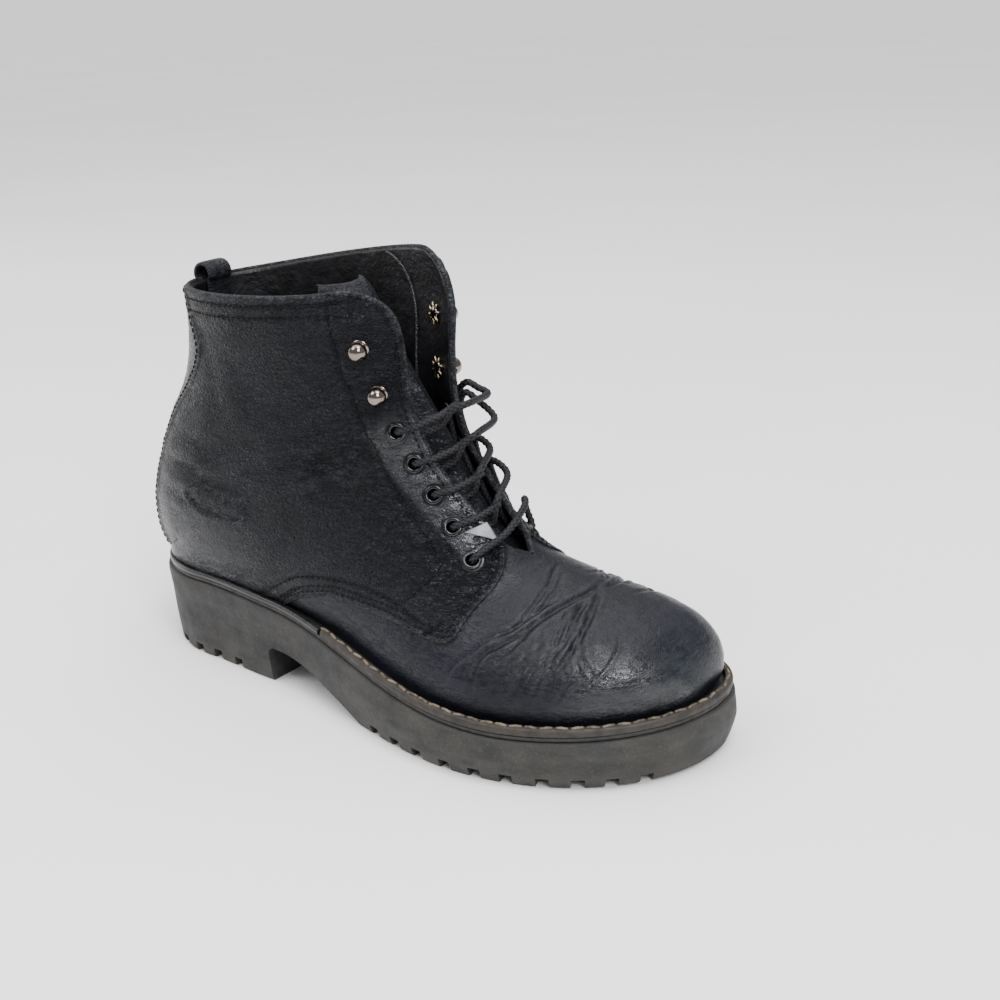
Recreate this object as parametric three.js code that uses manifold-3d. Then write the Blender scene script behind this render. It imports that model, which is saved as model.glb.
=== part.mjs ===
// A lace-up ankle combat boot for the right foot, lugged sole, Derby facings.
// Millimetres. +X points to the toe, +Y to the inner side of the foot, +Z up from the floor.
import * as THREE from 'three';
import { mergeVertices } from 'three/addons/utils/BufferGeometryUtils.js';
import Module from 'manifold-3d';

const wasm = await Module();
wasm.setup();

// ---------------------------------------------------------------- driving sizes
const SOLE_LENGTH = 274;
const TOE_TIP_Y = 9.8;
const SIDES = {
  lateral: { sign: -1, heelX: 42, heel: 36.2, waistX: 84.7, waist: 39, ballX: 190, ball: 57.6, round: 1.96 },
  medial: { sign: 1, heelX: 42, heel: 34, waistX: 104, waist: 33.5, ballX: 199, ball: 51, round: 2.4 },
};
const HEEL_TOP = 36.2;            // outsole's upper edge at the heel
const FORE_TOP = 18.8;            // and at the ball
const DROP_START = 53;            // where the upper edge starts to fall
const DROP_END = 217;             // and where it has reached the forepart
const SPRING_START = 200;
const SPRING = 2.8;               // lift of the upper edge at the toe tip
const SIDE_TAPER = 3;             // how far the tread is inside the upper edge
const BREAST_X = 84;              // front face of the heel block
const ARCH_HEIGHT = 17;           // clear height just before the heel block
const ARCH_END = 143;             // where the forepart reaches the floor
const MEET = 0.3;                 // gap between pieces that touch
const MIDSOLE = 2;
const WELT = 2.8;
const WELT_START = 118;           // rand behind this, stitched welt before it
const FOREPART_LEDGE = 7.6;       // from the sole's edge to the upper's feather edge
const HEEL_LEDGE = 5.2;
const TUCK = 0.46;                // share of that ledge left free for the upper to swell out
const WALL = 2.2;                 // upper and lining together
const INSOLE = 2.6;
const THROAT_ROW = 8;             // row of the table at which the facings part
const CORNER = 15;                // rounded top corner of each facing
const SHIFT_X = -135.2;           // puts the origin under the middle of the boot's box
const SHIFT_Y = 3.3;

// Upper: a row for each section. A section lies in a plane through the front ridge (topX, topZ)
// and the feather edge or the back seam (endX, endZ), and that plane holds the Y axis.
// lateral, medial: half widths where widest; wideAt: how far up the section that is;
// crown: roundness over the top; ridgeY: the ridge's offset; gap: half of the throat's width.
const COLUMNS = ['topX', 'topZ', 'endX', 'endZ', 'lateral', 'medial', 'wideAt', 'crown', 'ridgeY', 'tilt', 'gap'];
const ROWS = [
  [266.4, 24.6, 266.4, null, null, null, 0.30, 2.2, 9.5, 0, 0],
  [268.6, 33.0, 264.4, null, null, null, 0.30, 2.2, 9, 0, 0],
  [265.0, 43.5, 258.4, null, null, null, 0.28, 2.3, 8, 0, 0],
  [255.5, 51.0, 248.5, null, null, null, 0.26, 2.3, 7, 0, 0],
  [243.0, 55.5, 236.0, null, null, null, 0.24, 2.2, 5, 0, 0],
  [229.0, 58.5, 221.0, null, null, null, 0.23, 2.1, 3, 0, 0],
  [216.0, 61.5, 204.0, null, null, null, 0.22, 2.0, 2, 0, 0],
  [205.0, 65.0, 186.0, null, null, null, 0.22, 1.9, 1, 0, 0],
  [196.5, 69.0, 167.0, null, null, null, 0.22, 1.85, 0, 0, 0],
  [190.0, 74.5, 148.0, null, 45.7, 39, 0.25, 1.8, -1, 0, 7],
  [184.5, 81.0, 127.0, null, 41.5, 35, 0.27, 1.8, -1, 0, 8.5],
  [179.5, 88.0, 105.0, null, 39.3, 32.8, 0.28, 1.8, -1, 0, 10],
  [174.5, 95.0, 82.0, null, 38.2, 32.6, 0.29, 1.85, -1, 0, 11],
  [170.0, 102.0, 59.0, null, 37.2, 33, 0.29, 1.9, -1, 0, 12],
  [166.3, 108.5, 38.0, null, 36.6, 33.5, 0.30, 1.9, -1, 0, 12.5],
  [163.4, 115.5, 21.0, null, 36.2, 33.5, 0.31, 1.95, -1, 0, 13],
  [161.3, 122.0, 9.4, null, 36, 33.5, 0.32, 2.0, -1, 0, 13.5],
  [160.0, 128.5, 5.2, null, 35.5, 33.5, 0.33, 2.0, -1, 0.01, 14],
  [159.2, 134.5, -2.5, 47.5, 35.5, 33.5, 0.34, 2.05, -1, 0.02, 14.5],
  [158.5, 141.0, -4.5, 63.0, 35.5, 33.5, 0.36, 2.1, -1, 0.04, 15],
  [158.0, 147.5, 0.8, 82.0, 35.5, 33.5, 0.37, 2.15, -1, 0.06, 15.5],
  [157.3, 154.5, 11.5, 103.0, 35.5, 34, 0.39, 2.2, -0.5, 0.08, 16.5],
  [156.3, 162.0, 24.0, 123.0, 36, 34.5, 0.41, 2.2, 0, 0.11, 18],
  [152.8, 169.0, 29.5, 144.0, 37, 35.5, 0.43, 2.2, 1, 0.15, 19.5],
  [147.5, 176.5, 29.5, 163.0, 38, 36.5, 0.45, 2.2, 2, 0.19, 21],
];
const TOE_BULGE = 2.2;            // how far the vamp stands out over its feather edge
const HEEL_FULL = 0.78;           // below 1, the counter is fuller than a quarter ellipse
const FINE_ROWS = 2;              // steps from one row to the next
const FINE_COLUMNS = 9;           // steps from the ridge to the feather edge

// ---------------------------------------------------------------- sole outline
function clamp01(t) {
  return Math.min(1, Math.max(0, t));
}

function ease(t) {
  const c = clamp01(t);
  return c * c * (3 - 2 * c);
}

// Signed y of the outline at x on one side.
function outlineY(side, x) {
  const s = side.sign;
  if (x < side.heelX) {
    const back = (side.heelX - x) / side.heelX;
    return s * side.heel * Math.sqrt(Math.max(0, 1 - back * back));
  }
  if (x < side.waistX) {
    return s * (side.heel + (side.waist - side.heel) * ease((x - side.heelX) / (side.waistX - side.heelX)));
  }
  if (x < side.ballX) {
    return s * (side.waist + (side.ball - side.waist) * ease((x - side.waistX) / (side.ballX - side.waistX)));
  }
  const t = clamp01((x - side.ballX) / (SOLE_LENGTH - side.ballX));
  return TOE_TIP_Y + (s * side.ball - TOE_TIP_Y) * Math.pow(1 - Math.pow(t, side.round), 1 / side.round);
}

function soleTop(x) {
  const spring = SPRING * clamp01((x - SPRING_START) / (SOLE_LENGTH - SPRING_START)) ** 2;
  return HEEL_TOP + (FORE_TOP - HEEL_TOP) * ease((x - DROP_START) / (DROP_END - DROP_START)) + spring;
}

// Ledge between the sole's edge and the upper.
function ledge(x) {
  return HEEL_LEDGE + (FOREPART_LEDGE - HEEL_LEDGE) * ease((x - 70) / 45);
}

// Points along one side from heel to toe, moved inwards by inset(x).
function sideLine(side, steps, inset) {
  const line = [];
  for (let k = 0; k <= steps; k += 1) {
    const x = (SOLE_LENGTH * (1 - Math.cos((Math.PI * k) / steps))) / 2;
    line.push(new THREE.Vector2(x, outlineY(side, x)));
  }
  return line.map((p, k) => {
    const ahead = line[Math.min(steps, k + 1)].clone();
    const behind = line[Math.max(0, k - 1)].clone();
    if (k === 0) behind.set(ahead.x, -ahead.y);
    if (k === steps) ahead.set(behind.x, 2 * TOE_TIP_Y - behind.y);
    const along = ahead.sub(behind).normalize();
    const inward = new THREE.Vector2(-along.y, along.x).multiplyScalar(-side.sign);
    return p.clone().addScaledVector(inward, inset(p.x));
  });
}

// ---------------------------------------------------------------- solids
function geometryOf(points, triangles) {
  const geometry = new THREE.BufferGeometry();
  geometry.setAttribute('position', new THREE.Float32BufferAttribute(points.flatMap((p) => [p.x, p.y, p.z]), 3));
  geometry.setIndex(triangles.flat());
  geometry.computeVertexNormals();
  return geometry;
}

function toSolid(geometry) {
  const bare = geometry.clone();
  bare.deleteAttribute('normal');
  if (bare.hasAttribute('uv')) bare.deleteAttribute('uv');
  const merged = mergeVertices(bare, 1e-4);
  return new wasm.Manifold(new wasm.Mesh({
    numProp: 3,
    vertProperties: new Float32Array(merged.attributes.position.array),
    triVerts: new Uint32Array(merged.index.array),
  }));
}

function toGeometry(solid) {
  const mesh = solid.getMesh();
  const geometry = new THREE.BufferGeometry();
  geometry.setAttribute('position', new THREE.BufferAttribute(mesh.vertProperties, 3));
  geometry.setIndex(new THREE.BufferAttribute(mesh.triVerts, 1));
  geometry.computeVertexNormals();
  return geometry;
}

function block(x0, x1, y0, y1, z0, z1) {
  const geometry = new THREE.BoxGeometry(x1 - x0, y1 - y0, z1 - z0);
  geometry.translate((x0 + x1) / 2, (y0 + y1) / 2, (z0 + z1) / 2);
  return toSolid(geometry);
}

// Closed plate through the sole's outline; each level, from the floor up, has inset(x) and height(x).
function plate(levels, steps) {
  const points = [];
  const triangles = [];
  const ring = 2 * steps;
  for (const level of levels) {
    const lateral = sideLine(SIDES.lateral, steps, level.inset);
    const medial = sideLine(SIDES.medial, steps, level.inset);
    const loop = [...lateral, ...medial.slice(1, steps).reverse()];
    for (const p of loop) points.push(new THREE.Vector3(p.x, p.y, level.height(p.x)));
  }
  for (let j = 0; j + 1 < levels.length; j += 1) {
    for (let k = 0; k < ring; k += 1) {
      const a = j * ring + k;
      const b = j * ring + ((k + 1) % ring);
      triangles.push([a, b, b + ring], [a, b + ring, a + ring]);
    }
  }
  const top = (levels.length - 1) * ring;
  for (let k = 0; k < steps; k += 1) {
    const near = [k, k + 1];
    const far = [(ring - k) % ring, ring - k - 1];
    const quad = [near[0], near[1], far[1], far[0]];
    for (const [a, b, c] of [[0, 1, 2], [0, 2, 3]]) {
      const face = [quad[a], quad[b], quad[c]];
      if (new Set(face).size < 3) continue;
      triangles.push(face.map((i) => i + top));
      triangles.push([face[0], face[2], face[1]]);
    }
  }
  return geometryOf(points, triangles);
}

// A straight wall across the sole, of a side-view outline in x and z.
function acrossSole(outline) {
  const shape = new THREE.Shape(outline.map(([x, z]) => new THREE.Vector2(x, z)));
  const geometry = new THREE.ExtrudeGeometry(shape, { depth: 200, bevelEnabled: false, steps: 1 });
  geometry.rotateX(Math.PI / 2);
  geometry.translate(0, 100, 0);
  return toSolid(geometry);
}

// ---------------------------------------------------------------- outsole
const LUG_HEIGHT = 4.6;
const LUG_GAP = 5.4;
const LUG_PITCH = 13.6;
const LUG_DEPTH = 15;
const SOLE_STEPS = 34;

function archUnderside() {
  const outline = [[BREAST_X, -1], [BREAST_X, ARCH_HEIGHT - 2.5], [BREAST_X + 2.5, ARCH_HEIGHT]];
  const steps = 8;
  for (let k = 1; k <= steps; k += 1) {
    const t = k / steps;
    const x = BREAST_X + 6 + (ARCH_END - BREAST_X - 6) * t;
    outline.push([x, ARCH_HEIGHT * (1 - t ** 1.9)]);
  }
  outline.push([ARCH_END, -1]);
  return outline;
}

function springUnderside() {
  return [[SPRING_START, -1], [SPRING_START, 0], [SPRING_START + 30, 0.4], [SOLE_LENGTH - 18, 1.2],
    [SOLE_LENGTH + 5, 2.2], [SOLE_LENGTH + 5, -1]];
}

// Notches through the tread's edge, every LUG_PITCH along one side's outline.
function edgeNotches(side, from, to) {
  const line = sideLine(side, 200, () => 0);
  const cuts = [];
  let travelled = 0;
  let next = 0;
  for (let k = 1; k < line.length; k += 1) {
    const p = line[k];
    if (p.x < from || p.x > to) continue;
    const along = p.clone().sub(line[k - 1]);
    travelled += along.length();
    if (travelled < next) continue;
    next += LUG_PITCH;
    const geometry = new THREE.BoxGeometry(LUG_GAP, 2 * LUG_DEPTH, 2 * LUG_HEIGHT);
    geometry.rotateZ(Math.atan2(along.y, along.x));
    geometry.translate(p.x, p.y, 0);
    cuts.push(toSolid(geometry));
  }
  return cuts;
}

// Channel in the tread that runs at one inset from the edge.
function ringChannel(inset, width, from, to) {
  const height = () => LUG_HEIGHT - 1;
  const floor = () => -1;
  const outer = plate([{ inset: () => inset, height: floor }, { inset: () => inset, height }], SOLE_STEPS);
  const inner = plate([
    { inset: () => inset + width, height: () => -2 },
    { inset: () => inset + width, height: () => LUG_HEIGHT + 1 },
  ], SOLE_STEPS);
  return toSolid(outer).subtract(toSolid(inner)).intersect(block(from, to, -90, 90, -5, 20));
}

function outsole() {
  const body = plate([
    { inset: () => SIDE_TAPER, height: () => 0 },
    { inset: (x) => 1.2 - 2 * ease((x - 60) / 80), height: (x) => soleTop(x) * 0.55 },
    { inset: () => 0, height: (x) => soleTop(x) - 1.2 },
    { inset: () => 0.6, height: soleTop },
  ], SOLE_STEPS);
  let solid = toSolid(body).subtract(acrossSole(archUnderside())).subtract(acrossSole(springUnderside()));
  for (const side of Object.values(SIDES)) {
    for (const cut of edgeNotches(side, 152, 268)) solid = solid.subtract(cut);
    for (const cut of edgeNotches(side, 22, 66)) solid = solid.subtract(cut);
  }
  solid = solid.subtract(ringChannel(14, 4, ARCH_END + 8, SOLE_LENGTH - 5));
  for (let x = ARCH_END + 16; x < SOLE_LENGTH - 28; x += 20) {
    solid = solid.subtract(block(x, x + 4.5, -34, 34, -1, LUG_HEIGHT - 1));
  }
  return toGeometry(solid);
}

// ---------------------------------------------------------------- midsole, welt, rand, insole
function weltFloor(x) {
  return soleTop(x) + MEET + MIDSOLE + MEET;
}

function flatPlate(inset, from, to) {
  return plate([{ inset, height: from }, { inset, height: to }], SOLE_STEPS);
}

function midsole() {
  return flatPlate(() => 1.4, (x) => soleTop(x) + MEET, (x) => soleTop(x) + MEET + MIDSOLE);
}

// Strip that lies on the midsole round the upper.
function ledgeStrip(edge, thickness, from, to) {
  const outer = toSolid(flatPlate(() => edge, weltFloor, (x) => weltFloor(x) + thickness));
  const inner = toSolid(flatPlate((x) => ledge(x) * (1 - TUCK) - MEET, (x) => weltFloor(x) - 5, (x) => weltFloor(x) + 9));
  return toGeometry(outer.subtract(inner).intersect(block(from, to, -90, 90, -5, 90)));
}

function insole() {
  const inset = (x) => ledge(x) + WALL + 3 * MEET;
  return flatPlate(inset, weltFloor, (x) => weltFloor(x) + INSOLE);
}

// ---------------------------------------------------------------- upper
const LAST_FEATHER_ROW = 17;
const FEATHER = Object.fromEntries(Object.entries(SIDES).map(([name, side]) => [name, sideLine(side, 300, ledge)]));

// Signed y of the feather edge at x.
function featherY(name, x) {
  const line = FEATHER[name];
  let k = 1;
  while (k < line.length - 1 && line[k].x < x) k += 1;
  const a = line[k - 1];
  const b = line[k];
  const t = clamp01((x - a.x) / (b.x - a.x));
  return a.y + (b.y - a.y) * t;
}

const TABLE = ROWS.map((row, i) => {
  const named = Object.fromEntries(COLUMNS.map((name, k) => [name, row[k]]));
  if (named.endZ === null) named.endZ = weltFloor(named.endX);
  for (const name of ['lateral', 'medial']) {
    const edge = i <= LAST_FEATHER_ROW ? featherY(name, named.endX) : 0;
    const bulge = i === 0 ? 0 : TOE_BULGE;
    named[name] = row[4] === null || i === 0 ? edge + SIDES[name].sign * bulge : SIDES[name].sign * named[name];
  }
  return named;
});

function catmullRom(a, b, c, d, t) {
  return b + 0.5 * t * (c - a + t * (2 * a - 5 * b + 4 * c - d + t * (3 * (b - c) + d - a)));
}

// All the columns at u rows from the toe.
function sectionAt(u) {
  const last = TABLE.length - 1;
  const i = Math.min(last - 1, Math.max(0, Math.floor(u)));
  const section = {};
  for (const name of COLUMNS) {
    const at = (k) => TABLE[k][name];
    const mirrored = name === 'topX' || name === 'endX' ? at(1) : 2 * at(0) - at(1);
    const before = i === 0 ? mirrored : at(i - 1);
    const settles = name === 'endX' && i + 1 === LAST_FEATHER_ROW;
    const beyond = i + 2 > last ? 2 * at(last) - at(last - 1) : at(i + 2);
    const after = settles ? at(i) : beyond;
    section[name] = catmullRom(before, at(i), at(i + 1), after, u - i);
  }
  section.edge = { lateral: 0, medial: 0 };
  if (u <= LAST_FEATHER_ROW) {
    section.endX = Math.min(SOLE_LENGTH - FOREPART_LEDGE, Math.max(HEEL_LEDGE, section.endX));
    section.endZ = weltFloor(section.endX);
    for (const name of ['lateral', 'medial']) {
      section.edge[name] = featherY(name, section.endX);
      if (u < THROAT_ROW) section[name] = section.edge[name] + SIDES[name].sign * TOE_BULGE * clamp01(u);
    }
  }
  section.gap = Math.max(0, section.gap);
  return section;
}

// v runs from 0 on the ridge to 1 on the feather edge or back seam.
function seatOf(section, name) {
  const up = new THREE.Vector3(section.topX - section.endX, 0, section.topZ - section.endZ);
  const height = up.length();
  const wide = section[name];
  const over = Math.hypot(wide - section.ridgeY, (1 - section.wideAt) * height);
  const under = Math.hypot(wide - section.edge[name], section.wideAt * height);
  return { up, wide, share: over / (over + under + 1e-9) };
}

// How sharply the wall turns in under its widest line: fuller round the heel than along the sides.
function tuckOf(u, ratio) {
  const plain = Math.max(ease(ratio / 0.4), ease((u - LAST_FEATHER_ROW) / 3));
  return HEEL_FULL + (1 - HEEL_FULL) * plain + 0.7 * clamp01(ratio) ** 4;
}

function upperPoint(u, v, name) {
  const section = sectionAt(u);
  const { up, wide, share } = seatOf(section, name);
  let y;
  let w;
  if (v <= share) {
    const angle = (Math.PI / 2) * (1 - v / share);
    const power = 2 / section.crown;
    y = section.ridgeY + (wide - section.ridgeY) * Math.max(0, Math.cos(angle)) ** power;
    w = section.wideAt + (1 - section.wideAt) * Math.sin(angle) ** power;
  } else {
    const angle = (Math.PI / 2) * ((v - share) / (1 - share));
    const tuck = tuckOf(u, section.edge[name] / wide);
    y = section.edge[name] + (wide - section.edge[name]) * Math.max(0, Math.cos(angle)) ** tuck;
    w = section.wideAt * (1 - Math.sin(angle));
  }
  const x = section.endX + up.x * w;
  const z = section.endZ + up.z * w + section.tilt * y * w;
  return new THREE.Vector3(x, y, z);
}

// v of the facing's edge: half the gap away from the ridge, rounded at the top corner.
function throatV(u, name) {
  const section = sectionAt(u);
  if (u <= THROAT_ROW) return 0;
  const { wide, share } = seatOf(section, name);
  const reach = Math.abs(wide - section.ridgeY);
  const angle = Math.acos(Math.min(1, (section.gap / reach) ** (section.crown / 2)));
  const v = share * (1 - angle / (Math.PI / 2));
  const last = TABLE.length - 1;
  const below = upperPoint(last, v, name).distanceTo(upperPoint(u, v, name));
  if (below >= CORNER) return v;
  const extra = CORNER - Math.sqrt(Math.max(0, CORNER ** 2 - (CORNER - below) ** 2));
  const speed = upperPoint(u, v + 0.02, name).distanceTo(upperPoint(u, v, name)) / 0.02;
  return v + extra / speed;
}

function normalsOf(points, triangles) {
  const normals = points.map(() => new THREE.Vector3());
  const ab = new THREE.Vector3();
  const ac = new THREE.Vector3();
  for (const [a, b, c] of triangles) {
    ab.subVectors(points[b], points[a]);
    ac.subVectors(points[c], points[a]);
    const cross = ab.clone().cross(ac);
    for (const i of [a, b, c]) normals[i].add(cross);
  }
  return normals.map((n) => n.normalize());
}

// Closes a sheet: a second side at the inner points, and a rim along every free edge.
function closeSheet(outer, inner, triangles) {
  const count = outer.length;
  const edges = new Set(triangles.flatMap(([a, b, c]) => [`${a}_${b}`, `${b}_${c}`, `${c}_${a}`]));
  const faces = [...triangles, ...triangles.map(([a, b, c]) => [a + count, c + count, b + count])];
  for (const edge of edges) {
    const [a, b] = edge.split('_').map(Number);
    if (!edges.has(`${b}_${a}`)) faces.push([b, a, a + count], [b, a + count, b + count]);
  }
  return geometryOf([...outer, ...inner], faces);
}

// Rows closer together towards the collar, where the facings' corners are round.
function rowStops() {
  const stops = [];
  const last = TABLE.length - 1;
  for (let i = 0; i < last; i += 1) {
    const steps = i === last - 1 ? 5 : FINE_ROWS;
    for (let k = 0; k < steps; k += 1) stops.push(i + (i === last - 1 ? 1 - (1 - k / steps) ** 2 : k / steps));
  }
  stops.push(last);
  return stops;
}

function upperShell() {
  const stops = rowStops();
  const points = [];
  const feather = new Set();
  const ids = stops.map((u, i) => ['lateral', 'medial'].map((name) => {
    const start = throatV(u, name);
    const row = [];
    for (let j = 0; j <= FINE_COLUMNS; j += 1) {
      const v = start + ((1 - start) * j) / FINE_COLUMNS;
      row.push({ u, v, name, j, i });
    }
    return row;
  }));
  const known = new Map();
  const idOf = ({ u, v, name, j, i }) => {
    let key = `${i}_${name}_${j}`;
    if (u === 0) key = 'tip';
    else if (j === 0 && u <= THROAT_ROW) key = `${i}_ridge`;
    else if (j === FINE_COLUMNS && u >= LAST_FEATHER_ROW) key = `${i}_seam`;
    if (!known.has(key)) {
      known.set(key, points.length);
      points.push(upperPoint(u, v, name));
      if (u === 0 || (j === FINE_COLUMNS && u <= LAST_FEATHER_ROW)) feather.add(points.length - 1);
    }
    return known.get(key);
  };
  const grid = ids.map((sides) => sides.map((row) => row.map(idOf)));
  const triangles = [];
  for (let i = 0; i + 1 < grid.length; i += 1) {
    for (const side of [0, 1]) {
      for (let j = 0; j < FINE_COLUMNS; j += 1) {
        const a = grid[i][side][j];
        const b = grid[i][side][j + 1];
        const c = grid[i + 1][side][j + 1];
        const d = grid[i + 1][side][j];
        const pair = side === 0 ? [[a, d, c], [a, c, b]] : [[a, c, d], [a, b, c]];
        for (const face of pair) if (new Set(face).size === 3) triangles.push(face);
      }
    }
  }
  const normals = normalsOf(points, triangles);
  const inner = points.map((p, k) => {
    const n = normals[k].clone();
    if (feather.has(k)) n.setZ(0).normalize();
    return p.clone().addScaledVector(n, -WALL);
  });
  return closeSheet(points, inner, triangles);
}

// ---------------------------------------------------------------- tongue
const TONGUE_WALL = 2.4;
const TONGUE_BASE_ROW = 6.6;
const TONGUE_TOP_ROW = 22.4;
const TONGUE_STEPS = 15;
const TONGUE_COLUMNS = 5;
const LACE_ROOM = 4.4;            // depth left for the lace between the facings and the tongue
const TONGUE_LEAN = 38;           // how far the top has fallen back into the shaft
const LEAN_ROW = 14;              // row above which it leaves the facings

function outwardAt(u, v, name) {
  const last = TABLE.length - 1;
  const alongU = upperPoint(Math.min(last, u + 0.05), v, name).sub(upperPoint(Math.max(0, u - 0.05), v, name));
  const alongV = upperPoint(u, Math.min(1, v + 0.02), name).sub(upperPoint(u, Math.max(0, v - 0.02), name));
  const n = alongU.cross(alongV).normalize();
  return name === 'lateral' ? n : n.negate();
}

// v of a point whose y is a given distance from the ridge.
function acrossV(u, distance, name) {
  const section = sectionAt(u);
  const { wide, share } = seatOf(section, name);
  const ratio = Math.min(1, distance / Math.abs(wide - section.ridgeY));
  return share * (1 - Math.acos(ratio ** (section.crown / 2)) / (Math.PI / 2));
}

function tonguePoint(t, across) {
  const u = TONGUE_BASE_ROW + (TONGUE_TOP_ROW - TONGUE_BASE_ROW) * t;
  const name = across < 0 ? 'lateral' : 'medial';
  const half = 15 + 9 * ease(t * 2.2) - 5 * ease((t - 0.93) / 0.07) * Math.abs(across) ** 3;
  const v = acrossV(u, half * Math.abs(across), name);
  const depth = WALL + 0.9 + (LACE_ROOM - 0.9) * ease((u - THROAT_ROW + 0.8) / 1.8);
  const p = upperPoint(u, v, name).addScaledVector(outwardAt(u, v, name), -depth);
  const lean = Math.max(0, u - LEAN_ROW) / (TONGUE_TOP_ROW - LEAN_ROW);
  p.x -= TONGUE_LEAN * lean ** 1.6;
  return p;
}

function tongue() {
  const points = [];
  const triangles = [];
  const width = 2 * TONGUE_COLUMNS + 1;
  for (let i = 0; i <= TONGUE_STEPS; i += 1) {
    for (let j = -TONGUE_COLUMNS; j <= TONGUE_COLUMNS; j += 1) {
      points.push(tonguePoint(i / TONGUE_STEPS, j / TONGUE_COLUMNS));
    }
  }
  for (let i = 0; i < TONGUE_STEPS; i += 1) {
    for (let j = 0; j + 1 < width; j += 1) {
      const a = i * width + j;
      triangles.push([a, a + 1, a + width + 1], [a, a + width + 1, a + width]);
    }
  }
  const normals = normalsOf(points, triangles);
  const inner = points.map((p, k) => p.clone().addScaledVector(normals[k], -TONGUE_WALL));
  return closeSheet(points, inner, triangles);
}

// ---------------------------------------------------------------- pull loop
const LOOP_WIDTH = 13;
const LOOP_WALL = 1.8;
const LOOP_RISE = 10;             // height over the collar
const LOOP_LEG = 12;              // how far each leg reaches below the collar

function pullLoop() {
  const seam = TABLE[TABLE.length - 1];
  const back = seam.endX - MEET;
  const front = seam.endX + WALL + 7 * MEET;
  const middle = (back + front) / 2;
  const top = seam.endZ + LOOP_RISE;
  const radius = (front - back) / 2 + 1.2;
  const shape = new THREE.Shape();
  shape.moveTo(back - LOOP_WALL, seam.endZ - LOOP_LEG);
  shape.lineTo(back, seam.endZ - LOOP_LEG);
  shape.lineTo(back, seam.endZ + 1);
  shape.absarc(middle, top - radius, radius, Math.PI, 0, true);
  shape.lineTo(front, seam.endZ + 1);
  shape.lineTo(front, seam.endZ - LOOP_LEG);
  shape.lineTo(front + LOOP_WALL, seam.endZ - LOOP_LEG);
  shape.lineTo(front + LOOP_WALL, seam.endZ + 1);
  shape.absarc(middle, top - radius, radius + LOOP_WALL, 0, Math.PI, false);
  shape.lineTo(back - LOOP_WALL, seam.endZ + 1);
  const geometry = new THREE.ExtrudeGeometry(shape, { depth: LOOP_WIDTH, bevelEnabled: false, curveSegments: 8 });
  geometry.rotateX(Math.PI / 2);
  geometry.translate(0, LOOP_WIDTH / 2, 0);
  return geometry;
}

// ---------------------------------------------------------------- eyelets and studs
// Rows of the table at which the holes stand, from the throat upwards; v is measured on the surface.
const HOLES = [
  { row: 9.36, v: 0.274, kind: 'eyelet' },
  { row: 10.96, v: 0.252, kind: 'eyelet' },
  { row: 12.54, v: 0.235, kind: 'eyelet' },
  { row: 14.32, v: 0.228, kind: 'eyelet' },
  { row: 16.36, v: 0.228, kind: 'eyelet' },
  { row: 18.96, v: 0.243, kind: 'stud' },
  { row: 21.5, v: 0.282, kind: 'stud' },
];
const EYELET_HOLE = 2.7;
const STUD_HOLE = 1.9;
const TURNED_SIDES = 10;

function standAt(geometry, hole, name) {
  const n = outwardAt(hole.row, hole.v, name);
  const p = upperPoint(hole.row, hole.v, name);
  geometry.applyQuaternion(new THREE.Quaternion().setFromUnitVectors(new THREE.Vector3(0, 1, 0), n));
  geometry.translate(p.x, p.y, p.z);
  return geometry;
}

// profile: radius and height over the leather's outside, from the lowest point round to it again.
function turned(profile) {
  return new THREE.LatheGeometry(profile.map(([r, h]) => new THREE.Vector2(r, h)), TURNED_SIDES);
}

function eyeletProfile() {
  const under = -WALL - 0.9;
  return [[1.5, under - 0.7], [3.8, under - 0.7], [3.8, under], [2.35, under], [2.35, 0.35], [4.5, 0.35],
    [4.6, 0.7], [3.6, 1.2], [2.2, 1.2], [1.5, 0.6], [1.5, under - 0.7]];
}

function studProfile() {
  const under = -WALL - 0.9;
  return [[0, under - 0.8], [3.4, under - 0.8], [3.4, under], [1.5, under], [1.5, 0.35], [3.3, 0.35], [3.3, 1.1],
    [1.9, 1.8], [2.9, 3.2], [3.6, 4.8], [2.7, 6.8], [0, 7.5]];
}

function pierce(geometry) {
  let solid = toSolid(geometry);
  for (const hole of HOLES) {
    const radius = hole.kind === 'eyelet' ? EYELET_HOLE : STUD_HOLE;
    for (const name of Object.keys(SIDES)) {
      const drill = new THREE.CylinderGeometry(radius, radius, 8, TURNED_SIDES);
      solid = solid.subtract(toSolid(standAt(drill, hole, name)));
    }
  }
  return toGeometry(solid);
}

// ---------------------------------------------------------------- lace
const LACE = 2.8;                 // diameter
const LACE_SIDES = 8;

function laceTube(points, steps) {
  const shape = new THREE.Shape();
  for (let k = 0; k < LACE_SIDES; k += 1) {
    const a = (2 * Math.PI * k) / LACE_SIDES;
    const x = (LACE / 2) * Math.cos(a);
    const y = (LACE / 2) * Math.sin(a);
    if (k === 0) shape.moveTo(x, y);
    else shape.lineTo(x, y);
  }
  const path = new THREE.CatmullRomCurve3(points);
  return new THREE.ExtrudeGeometry(shape, { steps, extrudePath: path, bevelEnabled: false });
}

function over(row, v, name, height) {
  return upperPoint(row, v, name).addScaledVector(outwardAt(row, v, name), height);
}

// Strand that leaves an eyelet, runs over its facing's edge and sinks into the throat.
function strand(hole, name, down) {
  const other = name === 'lateral' ? 'medial' : 'lateral';
  const edge = throatV(hole.row, name);
  const low = hole.row - down;
  return laceTube([
    over(hole.row, hole.v - 0.02, name, 1.2 + LACE * 0.62),
    over(hole.row - down * 0.2, (edge + hole.v) / 2, name, 1.3 + LACE * 0.6),
    over(hole.row - down * 0.4, edge * 0.8, name, LACE * 0.75),
    over(hole.row - down * 0.7, edge * 0.3, name, LACE * 0.1),
    over(low, 0.02, other, -LACE * 0.2),
    over(low, throatV(low, other) * 0.4, other, -LACE * 0.3),
  ], 7);
}

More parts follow.
